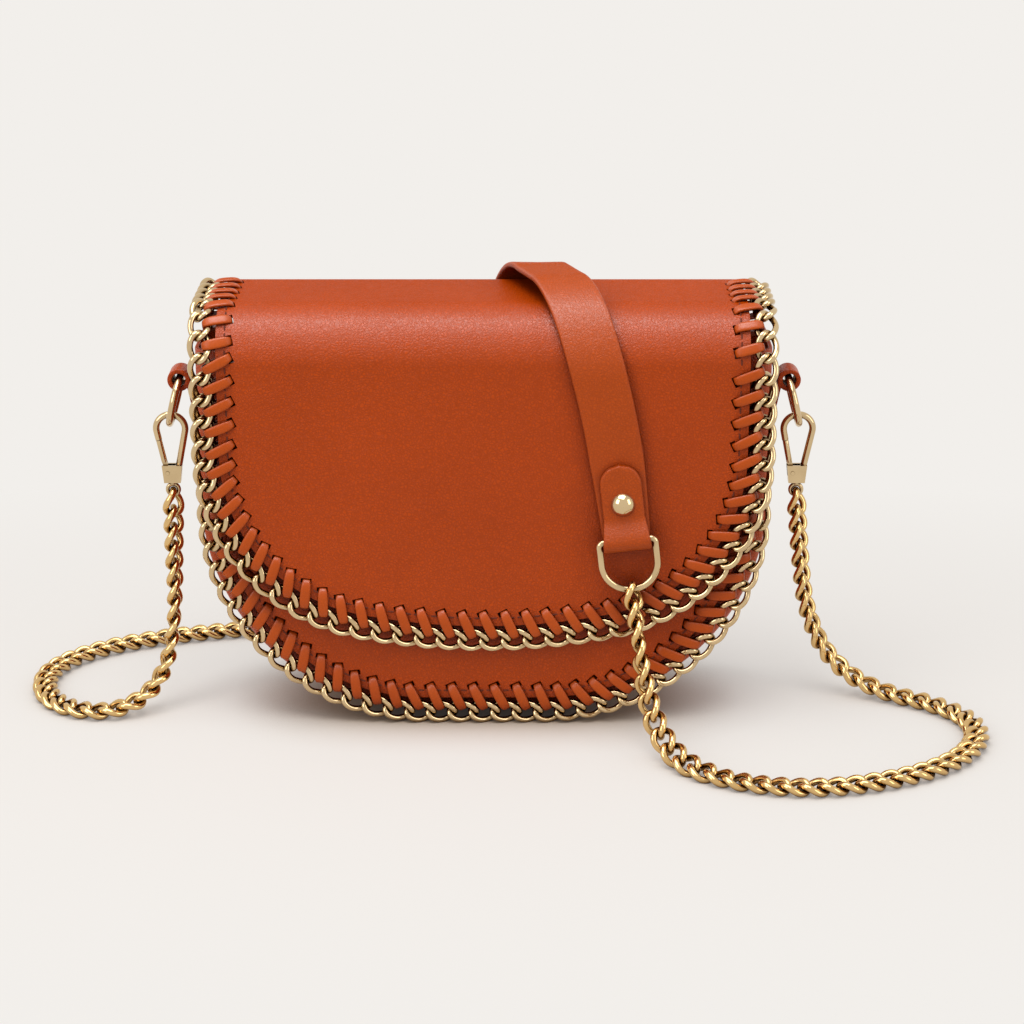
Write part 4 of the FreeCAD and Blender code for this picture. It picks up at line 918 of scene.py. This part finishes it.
for node in bodies_of_nodes:
    metal = node.endswith(("trim_chain", "_ring", "_hook", "_gate", "_pin", "_eye", "_rivet"))
    closure = node.endswith(("magnet", "washer"))
    if metal or closure:
        nodes[node].data.materials.clear()
        nodes[node].data.materials.append(GOLD if metal else CLOSURE)
    if node.endswith("trim_chain"):
        nodes[node].modifiers.new("one skin", "WELD").merge_threshold = WELD_REACH
        plate = nodes[node].modifiers.new("plating", "DISPLACE")
        plate.strength = TRIM_PLATING
        plate.mid_level = 0
    if node.endswith(("_hook", "_gate")):
        nodes[node].modifiers.new("one skin", "WELD").merge_threshold = WELD_REACH
        bevel = nodes[node].modifiers.new("polished edges", "BEVEL")
        bevel.width = METAL_EDGE_ROUND
        bevel.segments = 2
        bevel.limit_method = "ANGLE"
        bevel.angle_limit = METAL_SHARP_EDGE

# Stage, light and camera

PALE = (0.888, 0.863, 0.831)
FLOOR_HALF_WIDTH = 0.6
FLOOR_HALF_DEPTH = 0.28
FLOOR_TONE = (0.72, 0.68, 0.64)
FILL_TONE = (1, 0.98, 0.96)
FILL_STRENGTH = 0.42
CAMERA_PLACE = (0.0107, -0.9453, 0.4036)
CAMERA_DOWN = math.radians(19)
CAMERA_LENS = 90
CAMERA_SENSOR = 36
BAG_MIDDLE = Vector((0, 0, 0.08))


def make_floor():
    """A pale floor with a painted contact shadow under the bag, that glows as painted light more and more
    away from the bag and fades into the background towards its edges.
    """
    shader = Shader("floor")
    mesh = bpy.data.meshes.new("floor")
    signs = ((-1, -1), (1, -1), (1, 1), (-1, 1))
    corners = [(x * FLOOR_HALF_WIDTH, y * FLOOR_HALF_DEPTH, 0) for x, y in signs]
    mesh.from_pydata(corners, [], [(0, 1, 2, 3)])
    floor = bpy.data.objects.new("floor", mesh)
    bpy.context.scene.collection.objects.link(floor)
    surface = shader.surface
    # Painted shadow: the floor darkens and turns brown where the bag is near, up to 30 mm away.
    painted_contact_shadow = shader.painted_hollow_shade(30 * MM, (0.5, 0.35, 0.22))
    plain = shader.add("ShaderNodeRGB")
    plain.outputs[0].default_value = (*FLOOR_TONE, 1)
    shader.join(shader.times(plain.outputs[0], painted_contact_shadow), surface.inputs["Base Color"])
    surface.inputs["Roughness"].default_value = 0.9
    surface.inputs["Specular IOR Level"].default_value = 0.1
    spread = shader.add("ShaderNodeVectorMath", operation="MULTIPLY")
    spread.inputs[1].default_value = (1 / FLOOR_HALF_WIDTH, 1 / FLOOR_HALF_DEPTH, 0)
    shader.join(shader.place, spread.inputs[0])
    away = shader.add("ShaderNodeVectorMath", operation="LENGTH")
    shader.join(spread.outputs["Vector"], away.inputs[0])
    # Painted light: the floor glows pale, faintly under the bag so that its shadow shows, half beside it and
    # fully at its edges, where the glow hides the lamps' shadows; the painted contact shadow dims the glow
    # too.
    near = (0.06, 0.06, 0.06)
    beside = (0.55, 0.55, 0.55)
    stops = [(0.11, near), (1.0, (1, 1, 1)), (0.21, beside)]
    share = shader.times(shader.ramp(away.outputs["Value"], stops), painted_contact_shadow)
    glow = shader.add("ShaderNodeEmission")
    glow.inputs["Color"].default_value = (*PALE, 1)
    mix = shader.add("ShaderNodeMixShader")
    shader.join(share, mix.inputs[0])
    shader.join(surface.outputs[0], mix.inputs[1])
    shader.join(glow.outputs[0], mix.inputs[2])
    shader.join(mix.outputs[0], shader.tree.nodes["Material Output"].inputs["Surface"])
    mesh.materials.append(shader.material)


def make_world():
    """A pale background for the camera and for metal, and a dimmer fill light for the object."""
    world = bpy.data.worlds.new("room")
    world.use_nodes = True
    tree = world.node_tree
    backdrop = tree.nodes["Background"]
    backdrop.inputs["Color"].default_value = (*PALE, 1)
    fill = tree.nodes.new("ShaderNodeBackground")
    fill.inputs["Color"].default_value = (*FILL_TONE, 1)
    fill.inputs["Strength"].default_value = FILL_STRENGTH
    path = tree.nodes.new("ShaderNodeLightPath")
    shown = fill
    for ray in ("Is Glossy Ray", "Is Transmission Ray", "Is Camera Ray"):
        mix = tree.nodes.new("ShaderNodeMixShader")
        tree.links.new(path.outputs[ray], mix.inputs[0])
        tree.links.new(shown.outputs[0], mix.inputs[1])
        tree.links.new(backdrop.outputs[0], mix.inputs[2])
        shown = mix
    tree.links.new(shown.outputs[0], tree.nodes["World Output"].inputs["Surface"])
    bpy.context.scene.world = world


def make_lamp(name, place, size, watts):
    """A soft lamp aimed at the bag's middle."""
    lamp = bpy.data.lights.new(name, "AREA")
    lamp.shape = "RECTANGLE"
    lamp.size = size[0]
    lamp.size_y = size[1]
    lamp.energy = watts
    holder = bpy.data.objects.new(name, lamp)
    holder.location = place
    holder.rotation_euler = (BAG_MIDDLE - Vector(place)).to_track_quat("-Z", "Y").to_euler()
    bpy.context.scene.collection.objects.link(holder)


def make_camera():
    """The photograph's camera: in front, above and looking down."""
    lens = bpy.data.cameras.new("camera")
    lens.lens = CAMERA_LENS
    lens.sensor_width = CAMERA_SENSOR
    camera = bpy.data.objects.new("camera", lens)
    camera.location = CAMERA_PLACE
    camera.rotation_euler = (math.pi / 2 - CAMERA_DOWN, 0, 0)
    bpy.context.scene.collection.objects.link(camera)
    bpy.context.scene.camera = camera


make_floor()
make_world()
make_lamp("overhead", (-0.15, -0.3, 1.25), (1.1, 0.8), 12.5)
make_lamp("left front", (-1.1, -0.9, 0.75), (0.7, 0.9), 7)
make_lamp("right front", (1.15, -0.7, 0.6), (0.5, 0.9), 3.5)
make_camera()
bpy.context.scene.view_settings.view_transform = "Standard"
